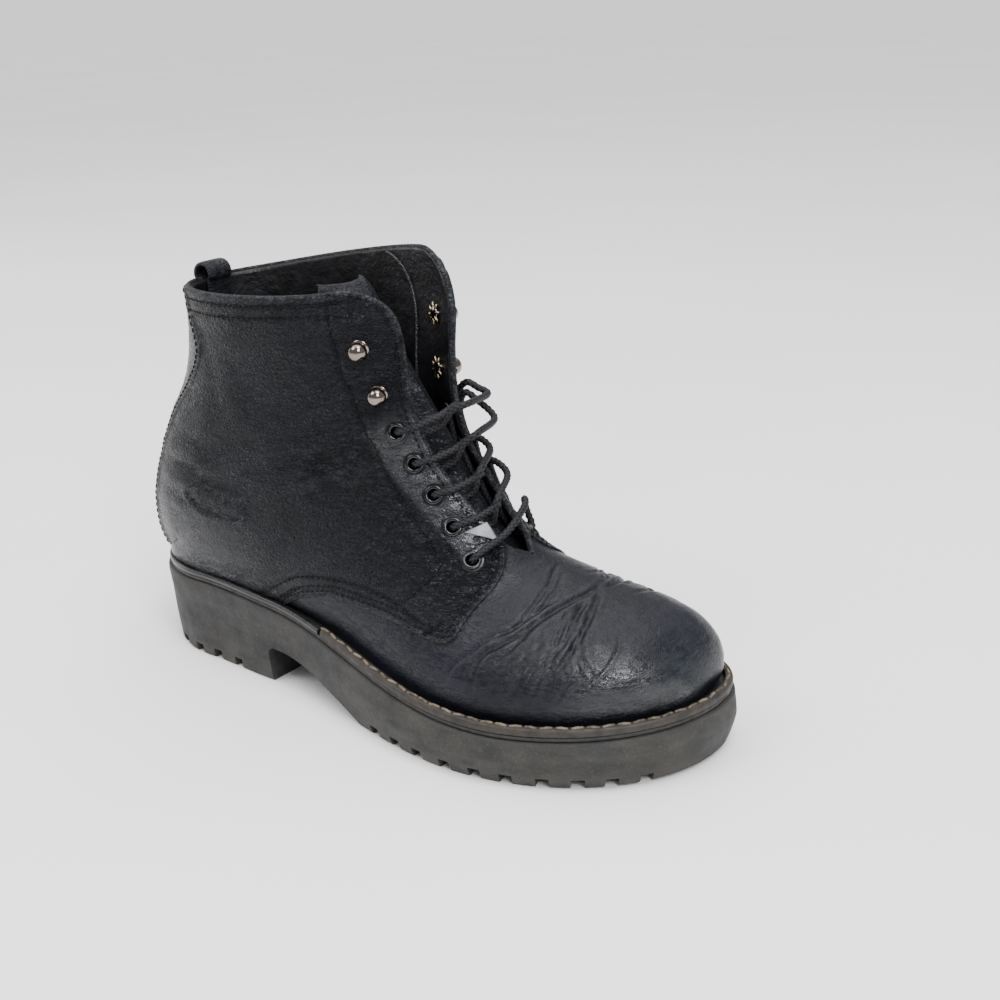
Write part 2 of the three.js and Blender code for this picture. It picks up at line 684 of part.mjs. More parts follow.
function laceCross(hole) {
  const lateral = toSolid(strand(hole, 'lateral', 0.5));
  const medial = toSolid(strand(hole, 'medial', 0.5));
  return toGeometry(lateral.add(medial));
}

function laceBar(hole) {
  const height = LACE * 1.1;
  return laceTube([
    over(hole.row, hole.v - 0.02, 'lateral', 1.2 + LACE * 0.62),
    over(hole.row, throatV(hole.row, 'lateral'), 'lateral', height),
    over(hole.row, 0.02, 'lateral', height),
    over(hole.row, throatV(hole.row, 'medial'), 'medial', height),
    over(hole.row, hole.v - 0.02, 'medial', 1.2 + LACE * 0.62),
  ], 10);
}

// ---------------------------------------------------------------- assembly
function leather(color, roughness) {
  return new THREE.MeshStandardMaterial({ color, roughness, metalness: 0 });
}

function metal(color, roughness) {
  return new THREE.MeshStandardMaterial({ color, roughness, metalness: 1 });
}

const boot = new THREE.Group();

function add(name, geometry, material) {
  const mesh = new THREE.Mesh(geometry, material);
  mesh.name = name;
  boot.add(mesh);
  return mesh;
}

add('outsole', outsole(), leather(0x4a4845, 0.85));
add('midsole', midsole(), leather(0x141414, 0.6));
add('welt', ledgeStrip(0.9, WELT, WELT_START + MEET, SOLE_LENGTH), leather(0x3a2c22, 0.7));
add('heel_rand', ledgeStrip(0.9, WELT * 0.7, -1, WELT_START), leather(0x101012, 0.35));
add('insole', insole(), leather(0x2a2826, 0.9));
add('upper', pierce(upperShell()), leather(0x1d1e24, 0.5));
add('tongue', tongue(), leather(0x17181c, 0.6));
add('pull_loop', pullLoop(), leather(0x1a1b20, 0.6));
const count = { eyelet: 0, stud: 0 };
for (const hole of HOLES) {
  count[hole.kind] += 1;
  for (const name of Object.keys(SIDES)) {
    const profile = hole.kind === 'eyelet' ? eyeletProfile() : studProfile();
    const finish = hole.kind === 'eyelet' ? metal(0x2c2b2b, 0.35) : metal(0x6a625a, 0.2);
    add(`${hole.kind}_${name}_${count[hole.kind]}`, standAt(turned(profile), hole, name), finish);
  }
}
const eyelets = HOLES.filter((hole) => hole.kind === 'eyelet');
add('lace_bar', laceBar(eyelets[0]), leather(0x101010, 0.9));
eyelets.slice(1).forEach((hole, k) => add(`lace_cross_${k + 1}`, laceCross(hole), leather(0x101010, 0.9)));
boot.position.set(SHIFT_X, SHIFT_Y, 0);

export default boot;
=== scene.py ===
"""Looks of a right lace-up combat boot: pebbled leather, stitched welt, lugged rubber sole.

Millimetres are used throughout, in the boot's own frame: +X to the toe, +Y to the inner side of
the foot, +Z up, with the back of the heel at X = 0. to_scene() turns them into scene metres.
"""
import logging
import math
from dataclasses import dataclass, field
from enum import Enum
from typing import Callable, Sequence

import bmesh
import bpy
import numpy as np
from mathutils import Matrix, Vector, noise


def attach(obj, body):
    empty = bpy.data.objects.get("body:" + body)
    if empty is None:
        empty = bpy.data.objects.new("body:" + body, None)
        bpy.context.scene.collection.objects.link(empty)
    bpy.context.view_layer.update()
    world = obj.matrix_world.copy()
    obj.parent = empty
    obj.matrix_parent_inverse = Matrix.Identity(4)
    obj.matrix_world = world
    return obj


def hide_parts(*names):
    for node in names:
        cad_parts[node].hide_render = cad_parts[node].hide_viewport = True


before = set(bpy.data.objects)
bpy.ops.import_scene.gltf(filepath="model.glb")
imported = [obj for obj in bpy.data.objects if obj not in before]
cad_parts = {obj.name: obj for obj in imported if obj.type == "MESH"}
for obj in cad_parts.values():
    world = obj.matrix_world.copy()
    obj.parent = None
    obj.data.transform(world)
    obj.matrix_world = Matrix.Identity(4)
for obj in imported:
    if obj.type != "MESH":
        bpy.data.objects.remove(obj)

LOG = logging.getLogger("boot")
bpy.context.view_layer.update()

Array = np.ndarray
Piece = bpy.types.Object
Material = bpy.types.Material
SHIFT = np.array([-135.2, 3.3, 0.0])   # puts the origin under the middle of the boot's box
MM = 0.001
AXIS = 0.01   # least radius in mm that a turned shape has on its axis


class Side(Enum):
    """The two sides of a right boot."""

    LATERAL = "lateral"
    MEDIAL = "medial"

    @property
    def sign(self) -> int:
        """-1 for the outer side, which lies towards -Y, and 1 for the inner one."""
        return -1 if self is Side.LATERAL else 1


# --- small maths
def clamp01(t: Array) -> Array:
    """t held between 0 and 1."""
    return np.clip(t, 0.0, 1.0)


def ease(t: Array) -> Array:
    """Smooth step from 0 to 1."""
    c = clamp01(t)
    return c * c * (3 - 2 * c)


def unit(v: Array) -> Array:
    """Vectors along the last axis, scaled to length 1."""
    return v / np.maximum(np.linalg.norm(v, axis=-1, keepdims=True), 1e-9)


def catmull(points: Array, steps: int) -> Array:
    """A smooth curve through points.

    Args:
        points: (n, k) array.
        steps: samples from one point to the next.
    Returns:
        (m, k) array that starts and ends on the first and last point.
    """
    p = np.asarray(points, float)
    p = np.vstack([2 * p[0] - p[1], p, 2 * p[-1] - p[-2]])
    out = []
    for k in range(1, len(p) - 2):
        t = np.linspace(0, 1, steps, endpoint=False)[:, None]
        a, b, c, d = p[k - 1], p[k], p[k + 1], p[k + 2]
        out.append(b + 0.5 * t * (c - a + t * (2 * a - 5 * b + 4 * c - d + t * (3 * (b - c) + d - a))))
    return np.vstack(out + [p[-2][None]])


def even(points: Array, pitch: float) -> tuple[Array, Array]:
    """Places at an even pitch along a polyline.

    Args:
        points: (n, 3) array.
        pitch: wanted distance between places.
    Returns:
        The places' fractional indices on the polyline, and their distances from its start.
    """
    lengths = np.linalg.norm(np.diff(points, axis=0), axis=1)
    along = np.concatenate([[0], np.cumsum(lengths)])
    count = max(2, int(round(along[-1] / pitch)) + 1)
    stops = np.linspace(0, along[-1], count)
    return np.interp(stops, along, np.arange(len(points))), stops


def sample(points: Array, index: Array) -> Array:
    """Rows of an array at fractional indices."""
    base = np.arange(len(points))
    return np.stack([np.interp(index, base, points[:, k]) for k in range(points.shape[1])], axis=1)


def distance_to(points: Array, line: Array) -> tuple[Array, Array]:
    """Distance from points to a polyline.

    Args:
        points: (n, 3) array.
        line: (m, 3) array.
    Returns:
        The distances, and how far along the line (0 to 1) the nearest place is.
    """
    best = np.full(len(points), 1e9)
    where = np.zeros(len(points))
    low, high = line.min(0) - 12, line.max(0) + 12
    near = np.all((points > low) & (points < high), axis=1)
    p = points[near]
    b_near, w_near = best[near], where[near]
    for k in range(len(line) - 1):
        a, d = line[k], line[k + 1] - line[k]
        t = clamp01(((p - a) @ d) / max(d @ d, 1e-9))
        gap = np.linalg.norm(p - a - t[:, None] * d, axis=1)
        closer = gap < b_near
        b_near = np.where(closer, gap, b_near)
        w_near = np.where(closer, (k + t) / (len(line) - 1), w_near)
    best[near], where[near] = b_near, w_near
    return best, where


def inside(u: Array, v: Array, outline: Array) -> Array:
    """Whether the points (u, v) lie inside a closed outline of (u, v) corners."""
    result = np.zeros(len(u), bool)
    for (u0, v0), (u1, v1) in zip(outline, np.roll(outline, -1, axis=0)):
        if v0 == v1:
            continue
        crosses = (v0 > v) != (v1 > v)
        result ^= crosses & (u < (u1 - u0) * (v - v0) / (v1 - v0) + u0)
    return result


def bumps(points: Array, size: float, seed: float = 0.0) -> Array:
    """Smooth noise from -1 to 1.

    Args:
        points: (n, 3) array in mm.
        size: mm from one lump to the next.
        seed: moves the pattern.
    Returns:
        One value a point.
    """
    offset = Vector((seed, seed * 1.7, -seed))
    return np.array([noise.noise(Vector(p) / size + offset) for p in points.tolist()])


# --- form of the sole and the last
@dataclass(frozen=True)
class Outline:
    """One side of the sole's outline."""

    heel_x: float
    heel: float
    waist_x: float
    waist: float
    ball_x: float
    ball: float
    rounding: float


@dataclass(frozen=True)
class SoleForm:
    """Outline and levels of the sole, shared by all that lies on it."""

    length: float = 274
    toe_tip_y: float = 9.8
    heel_top: float = 36.2
    fore_top: float = 18.8
    drop_start: float = 53
    drop_end: float = 217
    spring_start: float = 200
    spring: float = 2.8
    meet: float = 0.3
    midsole: float = 2.0
    heel_ledge: float = 5.2
    forepart_ledge: float = 7.6
    outlines: dict = field(default_factory=lambda: {
        Side.LATERAL: Outline(42, 36.2, 84.7, 39, 190, 57.6, 1.96),
        Side.MEDIAL: Outline(42, 34, 104, 33.5, 199, 51, 2.4),
    })

    def outline_y(self, side: Side, x: Array) -> Array:
        """Signed y of the outline at x on one side."""
        o, s = self.outlines[side], side.sign
        back = clamp01((o.heel_x - x) / o.heel_x)
        heel = s * o.heel * np.sqrt(np.maximum(0, 1 - back * back))
        waist = s * (o.heel + (o.waist - o.heel) * ease((x - o.heel_x) / (o.waist_x - o.heel_x)))
        ball = s * (o.waist + (o.ball - o.waist) * ease((x - o.waist_x) / (o.ball_x - o.waist_x)))
        t = clamp01((x - o.ball_x) / (self.length - o.ball_x))
        toe = self.toe_tip_y + (s * o.ball - self.toe_tip_y) * (1 - t ** o.rounding) ** (1 / o.rounding)
        return np.where(x < o.heel_x, heel, np.where(x < o.waist_x, waist, np.where(x < o.ball_x, ball, toe)))

    def top(self, x: Array) -> Array:
        """Height of the outsole's upper edge."""
        lift = self.spring * clamp01((x - self.spring_start) / (self.length - self.spring_start)) ** 2
        fall = ease((x - self.drop_start) / (self.drop_end - self.drop_start))
        return self.heel_top + (self.fore_top - self.heel_top) * fall + lift

    def welt_floor(self, x: Array) -> Array:
        """Height at which the welt, the rand and the insole lie."""
        return self.top(x) + 2 * self.meet + self.midsole

    def ledge(self, x: Array) -> Array:
        """Width of the ledge between the sole's edge and the upper."""
        return self.heel_ledge + (self.forepart_ledge - self.heel_ledge) * ease((x - 70) / 45)

    def side_line(self, side: Side, steps: int, inset: Callable[[Array], Array]) -> Array:
        """Points along one side from heel to toe, moved inwards.

        Args:
            side: which side.
            steps: number of stretches.
            inset: mm inwards at each x.
        Returns:
            (steps + 1, 2) array of x and y.
        """
        x = self.length * (1 - np.cos(np.pi * np.arange(steps + 1) / steps)) / 2
        line = np.stack([x, self.outline_y(side, x)], axis=1)
        ahead = np.vstack([line[1:], line[-1:]])
        behind = np.vstack([line[:1], line[:-1]])
        behind[0] = ahead[0] * [1, -1]
        ahead[-1] = [behind[-1, 0], 2 * self.toe_tip_y - behind[-1, 1]]
        along = unit(ahead - behind)
        inward = np.stack([-along[:, 1], along[:, 0]], axis=1) * -side.sign
        return line + inward * (inset(x) + 0 * x)[:, None]

    def loop(self, steps: int, inset: Callable[[Array], Array]) -> Array:
        """The whole outline from the heel along the lateral side round the toe and back."""
        lateral = self.side_line(Side.LATERAL, steps, inset)
        medial = self.side_line(Side.MEDIAL, steps, inset)
        return np.vstack([lateral, medial[1:-1][::-1]])


SOLE = SoleForm()


class UpperForm:
    """The upper's outside as one surface over rows u and shares v.

    u counts the rows of the table from the toe to the collar. v runs from 0 on the front ridge
    to 1 on the feather edge or the back seam.
    """

    wall = 2.2
    throat_row = 8
    last_feather_row = 17
    corner = 15
    toe_bulge = 2.2
    heel_full = 0.78
    columns = ("top_x", "top_z", "end_x", "end_z", "lateral", "medial", "wide_at", "crown", "ridge_y", "tilt",
               "gap")
    rows = (
        (266.4, 24.6, 266.4, None, None, None, 0.30, 2.2, 9.5, 0, 0),
        (268.6, 33.0, 264.4, None, None, None, 0.30, 2.2, 9, 0, 0),
        (265.0, 43.5, 258.4, None, None, None, 0.28, 2.3, 8, 0, 0),
        (255.5, 51.0, 248.5, None, None, None, 0.26, 2.3, 7, 0, 0),
        (243.0, 55.5, 236.0, None, None, None, 0.24, 2.2, 5, 0, 0),
        (229.0, 58.5, 221.0, None, None, None, 0.23, 2.1, 3, 0, 0),
        (216.0, 61.5, 204.0, None, None, None, 0.22, 2.0, 2, 0, 0),
        (205.0, 65.0, 186.0, None, None, None, 0.22, 1.9, 1, 0, 0),
        (196.5, 69.0, 167.0, None, None, None, 0.22, 1.85, 0, 0, 0),
        (190.0, 74.5, 148.0, None, 45.7, 39, 0.25, 1.8, -1, 0, 7),
        (184.5, 81.0, 127.0, None, 41.5, 35, 0.27, 1.8, -1, 0, 8.5),
        (179.5, 88.0, 105.0, None, 39.3, 32.8, 0.28, 1.8, -1, 0, 10),
        (174.5, 95.0, 82.0, None, 38.2, 32.6, 0.29, 1.85, -1, 0, 11),
        (170.0, 102.0, 59.0, None, 37.2, 33, 0.29, 1.9, -1, 0, 12),
        (166.3, 108.5, 38.0, None, 36.6, 33.5, 0.30, 1.9, -1, 0, 12.5),
        (163.4, 115.5, 21.0, None, 36.2, 33.5, 0.31, 1.95, -1, 0, 13),
        (161.3, 122.0, 9.4, None, 36, 33.5, 0.32, 2.0, -1, 0, 13.5),
        (160.0, 128.5, 5.2, None, 35.5, 33.5, 0.33, 2.0, -1, 0.01, 14),
        (159.2, 134.5, -2.5, 47.5, 35.5, 33.5, 0.34, 2.05, -1, 0.02, 14.5),
        (158.5, 141.0, -4.5, 63.0, 35.5, 33.5, 0.36, 2.1, -1, 0.04, 15),
        (158.0, 147.5, 0.8, 82.0, 35.5, 33.5, 0.37, 2.15, -1, 0.06, 15.5),
        (157.3, 154.5, 11.5, 103.0, 35.5, 34, 0.39, 2.2, -0.5, 0.08, 16.5),
        (156.3, 162.0, 24.0, 123.0, 36, 34.5, 0.41, 2.2, 0, 0.11, 18),
        (152.8, 169.0, 29.5, 144.0, 37, 35.5, 0.43, 2.2, 1, 0.15, 19.5),
        (147.5, 176.5, 29.5, 163.0, 38, 36.5, 0.45, 2.2, 2, 0.19, 21),
    )

    def __init__(self) -> None:
        """Fills in the table's open places from the sole."""
        self.last = len(self.rows) - 1
        self.feather = {side: SOLE.side_line(side, 300, SOLE.ledge) for side in Side}
        table = {name: [] for name in self.columns}
        for i, row in enumerate(self.rows):
            named = dict(zip(self.columns, row))
            if named["end_z"] is None:
                named["end_z"] = float(SOLE.welt_floor(named["end_x"]))
            for side in Side:
                edge = float(self.feather_y(side, named["end_x"])) if i <= self.last_feather_row else 0.0
                if row[4] is None:
                    named[side.value] = edge + side.sign * (self.toe_bulge if i else 0)
                else:
                    named[side.value] *= side.sign
            for name in self.columns:
                table[name].append(named[name])
        self.table = {name: np.array(values, float) for name, values in table.items()}

    def feather_y(self, side: Side, x: Array) -> Array:
        """Signed y of the feather edge at x."""
        line = self.feather[side]
        return np.interp(x, line[:, 0], line[:, 1])

    def section(self, u: Array) -> dict:
        """All columns at rows u, and the edge's y on both sides."""
        i = np.clip(np.floor(u).astype(int), 0, self.last - 1)
        t = u - i
        result = {}
        for name in self.columns:
            values = self.table[name]
            start = values[1] if name in ("top_x", "end_x") else 2 * values[0] - values[1]
            ends = 2 * values[-1] - values[-2]
            padded = np.concatenate([[start], values, [ends]])
            a, b, c, d = padded[i], padded[i + 1], padded[i + 2], padded[i + 3]
            if name == "end_x":
                d = np.where(i + 1 == self.last_feather_row, b, d)
            result[name] = b + 0.5 * t * (c - a + t * (2 * a - 5 * b + 4 * c - d + t * (3 * (b - c) + d - a)))
        low = u <= self.last_feather_row
        held = np.clip(result["end_x"], SOLE.heel_ledge, SOLE.length - SOLE.forepart_ledge)
        result["end_x"] = np.where(low, held, result["end_x"])
        result["end_z"] = np.where(low, SOLE.welt_floor(result["end_x"]), result["end_z"])
        result["edge"] = {}
        for side in Side:
            edge = np.where(low, self.feather_y(side, result["end_x"]), 0.0)
            swollen = edge + side.sign * self.toe_bulge * clamp01(u)
            result["edge"][side] = edge
            result[side.value] = np.where(u < self.throat_row, swollen, result[side.value])
        result["gap"] = np.maximum(0, result["gap"])
        return result

    def seat(self, s: dict, side: Side) -> tuple[Array, Array, Array, Array]:
        """Up vector in x and z, signed half width, and the share of v over the widest line."""
        up_x, up_z = s["top_x"] - s["end_x"], s["top_z"] - s["end_z"]
        height = np.hypot(up_x, up_z)
        wide = s[side.value]
        over = np.hypot(wide - s["ridge_y"], (1 - s["wide_at"]) * height)
        under = np.hypot(wide - s["edge"][side], s["wide_at"] * height)
        return up_x, up_z, wide, over / (over + under + 1e-9)

    def point(self, u: Array, v: Array, side: Side) -> Array:
        """Points of the outside.

        Args:
            u: rows.
            v: shares, of the same shape.
            side: which side.
        Returns:
            Array of the same shape and one axis of x, y, z more.
        """
        u, v = np.asarray(u, float), np.asarray(v, float)
        s = self.section(u)
        up_x, up_z, wide, share = self.seat(s, side)
        high = v <= share
        turn = np.pi / 2 * (1 - v / np.maximum(share, 1e-6))
        power = 2 / s["crown"]
        y_high = s["ridge_y"] + (wide - s["ridge_y"]) * np.maximum(0, np.cos(turn)) ** power
        w_high = s["wide_at"] + (1 - s["wide_at"]) * np.maximum(0, np.sin(turn)) ** power
        turn = np.pi / 2 * (v - share) / (1 - share)
        edge = s["edge"][side]
        ratio = edge / wide
        plain = np.maximum(ease(ratio / 0.4), ease((u - self.last_feather_row) / 3))
        tuck = self.heel_full + (1 - self.heel_full) * plain + 0.7 * clamp01(ratio) ** 4
        y_low = edge + (wide - edge) * np.maximum(0, np.cos(turn)) ** tuck
        w_low = s["wide_at"] * (1 - np.sin(turn))
        y = np.where(high, y_high, y_low)
        w = np.where(high, w_high, w_low)
        z = s["end_z"] + up_z * w + s["tilt"] * y * w
        return np.stack([s["end_x"] + up_x * w, y, z], axis=-1)

    def normal(self, u: Array, v: Array, side: Side) -> Array:
        """Outward unit normals."""
        u, v = np.asarray(u, float), np.asarray(v, float)
        ahead, behind = np.minimum(self.last, u + 0.05), np.maximum(0, u - 0.05)
        along_u = self.point(ahead, v, side) - self.point(behind, v, side)
        along_v = self.point(u, np.minimum(1, v + 0.02), side) - self.point(u, np.maximum(0, v - 0.02), side)
        n = unit(np.cross(along_u, along_v))
        return n if side is Side.LATERAL else -n

    def across(self, u: Array, reach: Array, side: Side) -> Array:
        """v of a point that lies reach mm across from the ridge."""
        s = self.section(np.asarray(u, float))
        _, _, wide, share = self.seat(s, side)
        ratio = np.minimum(1, reach / np.abs(wide - s["ridge_y"]))
        return share * (1 - np.arccos(ratio ** (s["crown"] / 2)) / (np.pi / 2))

    def throat(self, u: Array, side: Side) -> Array:
        """v of the facing's edge, rounded at its top corner."""
        u = np.asarray(u, float)
        v = self.across(u, self.section(u)["gap"], side)
        top = self.point(np.full_like(u, self.last), v, side)
        here = self.point(u, v, side)
        below = np.linalg.norm(top - here, axis=-1)
        left = np.maximum(0, self.corner - below)
        extra = self.corner - np.sqrt(np.maximum(0, self.corner ** 2 - left ** 2))
        speed = np.linalg.norm(self.point(u, v + 0.02, side) - here, axis=-1) / 0.02
        return np.where(u <= self.throat_row, 0.0, v + extra / speed)


FORM = UpperForm()


# --- mesh making
def to_scene(points: Array) -> Array:
    """Millimetres in the boot's frame as metres in the scene."""
    return (np.asarray(points, float) + SHIFT) * MM


def clear_selection() -> None:
    """Leaves edit mode and selects nothing."""
    if bpy.context.object and bpy.context.object.mode != "OBJECT":
        bpy.ops.object.mode_set(mode="OBJECT")
    bpy.ops.object.select_all(action="DESELECT")


def activate(obj: Piece) -> None:
    """Makes obj the only selected and the active object."""
    clear_selection()
    obj.select_set(True)
    bpy.context.view_layer.objects.active = obj


def mesh_object(name: str, points: Array, faces: Sequence) -> Piece:
    """A smooth-shaded object with its place in its mesh.

    Args:
        name: the piece's name.
        points: (n, 3) array in mm.
        faces: (m, 3) or (m, 4) array, or a list of tuples.
    Returns:
        The new object.
    """
    mesh = bpy.data.meshes.new(name)
    mesh.from_pydata(to_scene(points).tolist(), [], [tuple(int(i) for i in f) for f in faces])
    mesh.update()
    obj = bpy.data.objects.new(name, mesh)
    bpy.context.scene.collection.objects.link(obj)
    mesh.polygons.foreach_set("use_smooth", np.ones(len(mesh.polygons), bool))
    return obj


def sheet_faces(ids: Array, wrap: bool = False) -> Array:
    """Quads over a grid of vertex numbers.

    Args:
        ids: (rows, columns) array of vertex numbers.
        wrap: whether the last column joins the first.
    Returns:
        (n, 4) array.
    """
    if wrap:
        ids = np.hstack([ids, ids[:, :1]])
    a, b, c, d = ids[:-1, :-1], ids[:-1, 1:], ids[1:, 1:], ids[1:, :-1]
    return np.stack([a, b, c, d], axis=-1).reshape(-1, 4)


def tidy_faces(faces: Array) -> list:
    """Faces without repeated corners, and without the ones that have fallen to a line."""
    out = []
    for face in faces.tolist():
        corners = [c for k, c in enumerate(face) if c != face[k - 1]]
        if len(set(corners)) >= 3:
            out.append(tuple(corners))
    return out


def loft(name: str, rings: Array) -> Piece:
    """A closed skin over rings of the same number of points, each end one face.

    Args:
        name: the piece's name.
        rings: (rings, points, 3) array in mm.
    Returns:
        The new object.
    """
    ids = np.arange(rings.shape[0] * rings.shape[1]).reshape(rings.shape[:2])
    faces = sheet_faces(ids, wrap=True).tolist() + [ids[0][::-1].tolist(), ids[-1].tolist()]
    obj = mesh_object(name, rings.reshape(-1, 3), faces)
    face_out(obj)
    return obj


def slab(name: str, rings: Array) -> Piece:
    """A closed body over rings of the sole's outline, its ends filled from side to side.

    Args:
        name: the piece's name.
        rings: (rings, points, 3) array in mm, an even number of points, from the heel round.
    Returns:
        The new object.
    """
    count, width = rings.shape[:2]
    ids = np.arange(count * width).reshape(count, width)
    faces = sheet_faces(ids, wrap=True).tolist()
    for ring, flip in ((ids[0], True), (ids[-1], False)):
        for k in range(width // 2):
            corners = (ring[k], ring[k + 1], ring[(width - k - 1) % width], ring[(width - k) % width])
            quad = list(dict.fromkeys(corners))
            faces.append(quad[::-1] if flip else quad)
    obj = mesh_object(name, rings.reshape(-1, 3), faces)
    face_out(obj)
    return obj


def taken(obj: Piece) -> tuple[Array, list]:
    """Takes a small object's points and faces, and removes it."""
    points = np.array([v.co[:] for v in obj.data.vertices])
    faces = [tuple(p.vertices) for p in obj.data.polygons]
    bpy.data.objects.remove(obj)
    return points, faces


def edit_all() -> None:
    """Enters edit mode on the active object and selects all of its mesh."""
    bpy.ops.object.mode_set(mode="EDIT")
    bpy.ops.mesh.select_all(action="SELECT")


def face_out(obj: Piece) -> None:
    """Turns all faces outwards."""
    activate(obj)
    edit_all()
    bpy.ops.mesh.normals_make_consistent(inside=False)
    bpy.ops.object.mode_set(mode="OBJECT")


def sharp_over(obj: Piece, degrees: float) -> None:
    """Shades smooth but for edges sharper than degrees."""
    activate(obj)
    bpy.ops.object.shade_smooth_by_angle(angle=math.radians(degrees))


def frames_along(points: Array, first: Array) -> tuple[Array, Array]:
    """Two unit vectors across a path, carried along it without twist.

    Args:
        points: (n, 3) array.
        first: a vector that the first one starts near.
    Returns:
        Two (n, 3) arrays.
    """
    tangents = unit(np.gradient(points, axis=0))
    across = np.zeros_like(points)
    current = np.asarray(first, float)
    for k, t in enumerate(tangents):
        current = unit(current - t * (current @ t))
        across[k] = current
    return across, np.cross(tangents, across)


def set_attribute(obj: Piece, name: str, values: Array) -> None:
    """Stores one number a vertex."""
    layer = obj.data.attributes.new(name, "FLOAT", "POINT")
    layer.data.foreach_set("value", np.asarray(values, np.float32))


# Looks stored on the leather's vertices: dark is painted shade, and the others are smoothness, wear, scuffing and
# gloss.
LOOKS = ("smooth", "wear", "scuff", "dark", "shine")


def plain_looks(obj: Piece, **values: float) -> None:
    """Stores the same looks all over a leather piece; the ones not named are 0."""
    for name in LOOKS:
        set_attribute(obj, name, np.full(len(obj.data.vertices), values.get(name, 0.0)))


def joined(name: str, copies: Sequence[tuple[Array, Sequence]]) -> Piece:
    """One object of many small ones.

    Args:
        name: the piece's name.
        copies: points and faces of each.
    Returns:
        The new object.
    """
    points, faces, start = [], [], 0
    for p, f in copies:
        points.append(p)
        faces.extend(tuple(i + start for i in face) for face in f)
        start += len(p)
    return mesh_object(name, np.vstack(points), faces)


def turned(profile: Sequence[tuple[float, float]], sides: int) -> tuple[Array, list]:
    """A turned shape, drawn out of a circle ring by ring.

    Args:
        profile: radius and height pairs in mm, from the lowest point round to it again or to the axis.
        sides: number of sides.
    Returns:
        Points in mm with the axis along z, and the faces.
    """
    clear_selection()
    r0, h0 = profile[0]
    bpy.ops.mesh.primitive_circle_add(vertices=sides, radius=max(r0, AXIS), location=(0, 0, h0))
    obj = bpy.context.object
    edit_all()
    radius, height = max(r0, AXIS), h0
    for r, h in profile[1:]:
        r = max(r, AXIS)
        bpy.ops.mesh.extrude_region_move(TRANSFORM_OT_translate={"value": (0, 0, h - height)})
        bpy.ops.transform.resize(value=(r / radius, r / radius, 1), center_override=(0, 0, h))
        radius, height = r, h
    bpy.ops.mesh.select_all(action="SELECT")
    bpy.ops.mesh.remove_doubles(threshold=0.025)
    bpy.ops.mesh.normals_make_consistent(inside=False)
    bpy.ops.object.mode_set(mode="OBJECT")
    bpy.ops.object.transform_apply(location=True, rotation=True, scale=True)
    return taken(obj)


def capsule(length: float, thick: float) -> tuple[Array, list]:
    """A short thread with rounded ends, along x.

    Args:
        length: mm from end to end.
        thick: its diameter.
    Returns:
        Points in mm and faces.
    """
    clear_selection()
    bpy.ops.mesh.primitive_uv_sphere_add(segments=6, ring_count=6, radius=thick / 2)
    obj = bpy.context.object
    edit_all()
    bpy.ops.transform.rotate(value=math.pi / 2, orient_axis="Y", center_override=(0, 0, 0))
    bpy.ops.object.mode_set(mode="OBJECT")
    points, faces = taken(obj)
    points[:, 0] += np.sign(np.round(points[:, 0], 4)) * (length - thick) / 2
    points[:, 2] -= 0.12 * thick * (np.abs(points[:, 0]) > length * 0.3)
    return points, faces


def placed(shape: tuple[Array, list], origin: Array, along: Array, out: Array) -> tuple[Array, list]:
    """A small shape set on a surface.

    Args:
        shape: points and faces.
        origin: where its zero goes.
        along: direction of its x.
        out: direction of its z.
    Returns:
        Points and faces.
    """
    x = unit(along)
    z = unit(out - x * (out @ x))
    y = np.cross(z, x)
    points, faces = shape
    return origin + points @ np.stack([x, y, z]), faces


def tube(name: str, points: Array, radius: float, sides: int = 12, relief: float = 0.0,
         pitch: float = 4.4, first: Sequence[float] = (0, 0, 1)) -> Piece:
    """A tube along a path, with a braided surface where relief is given.

    Args:
        name: the piece's name.
        points: (n, 3) array in mm.
        radius: in mm.
        sides: sides round.
        relief: share of the radius by which the braid stands out.
        pitch: mm along for one turn of the braid's strands.
        first: a vector across the start.
    Returns:
        The new object, closed at both ends, with its braid's height as an attribute.
    """
    index, stops = even(points, 0.45 if relief else 1.2)
    path = sample(points, index)
    across, up = frames_along(path, np.array(first, float))
    angle = 2 * np.pi * np.arange(sides) / sides
    turn = 2 * np.pi * stops[:, None] / pitch
    braid = np.abs(np.sin(2 * angle[None] + turn)) + np.abs(np.sin(2 * angle[None] - turn))
    r = radius * (1 - relief + relief * braid * 0.6)
    rings = path[:, None] + r[..., None] * (np.cos(angle)[None, :, None] * across[:, None]
                                            + np.sin(angle)[None, :, None] * up[:, None])
    obj = loft(name, rings)
    set_attribute(obj, "braid", braid.reshape(-1) if relief else np.zeros(braid.size))
    return obj


def dress(obj: Piece, material: Material, slot: str, *nodes: str) -> Piece:
    """Gives a finished piece its material, hangs it under the root body and hides the CAD nodes that it stands for.

    Args:
        obj: the piece.
        material: its material.
        slot: the record's material slot; not used.
        nodes: the CAD nodes that it stands for.
    Returns:
        The piece.
    """
    obj.data.materials.clear()
    obj.data.materials.append(material)
    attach(obj, "root")
    if nodes:
        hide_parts(*nodes)
    LOG.info("%s: %d faces", obj.name, len(obj.data.polygons))
    return obj


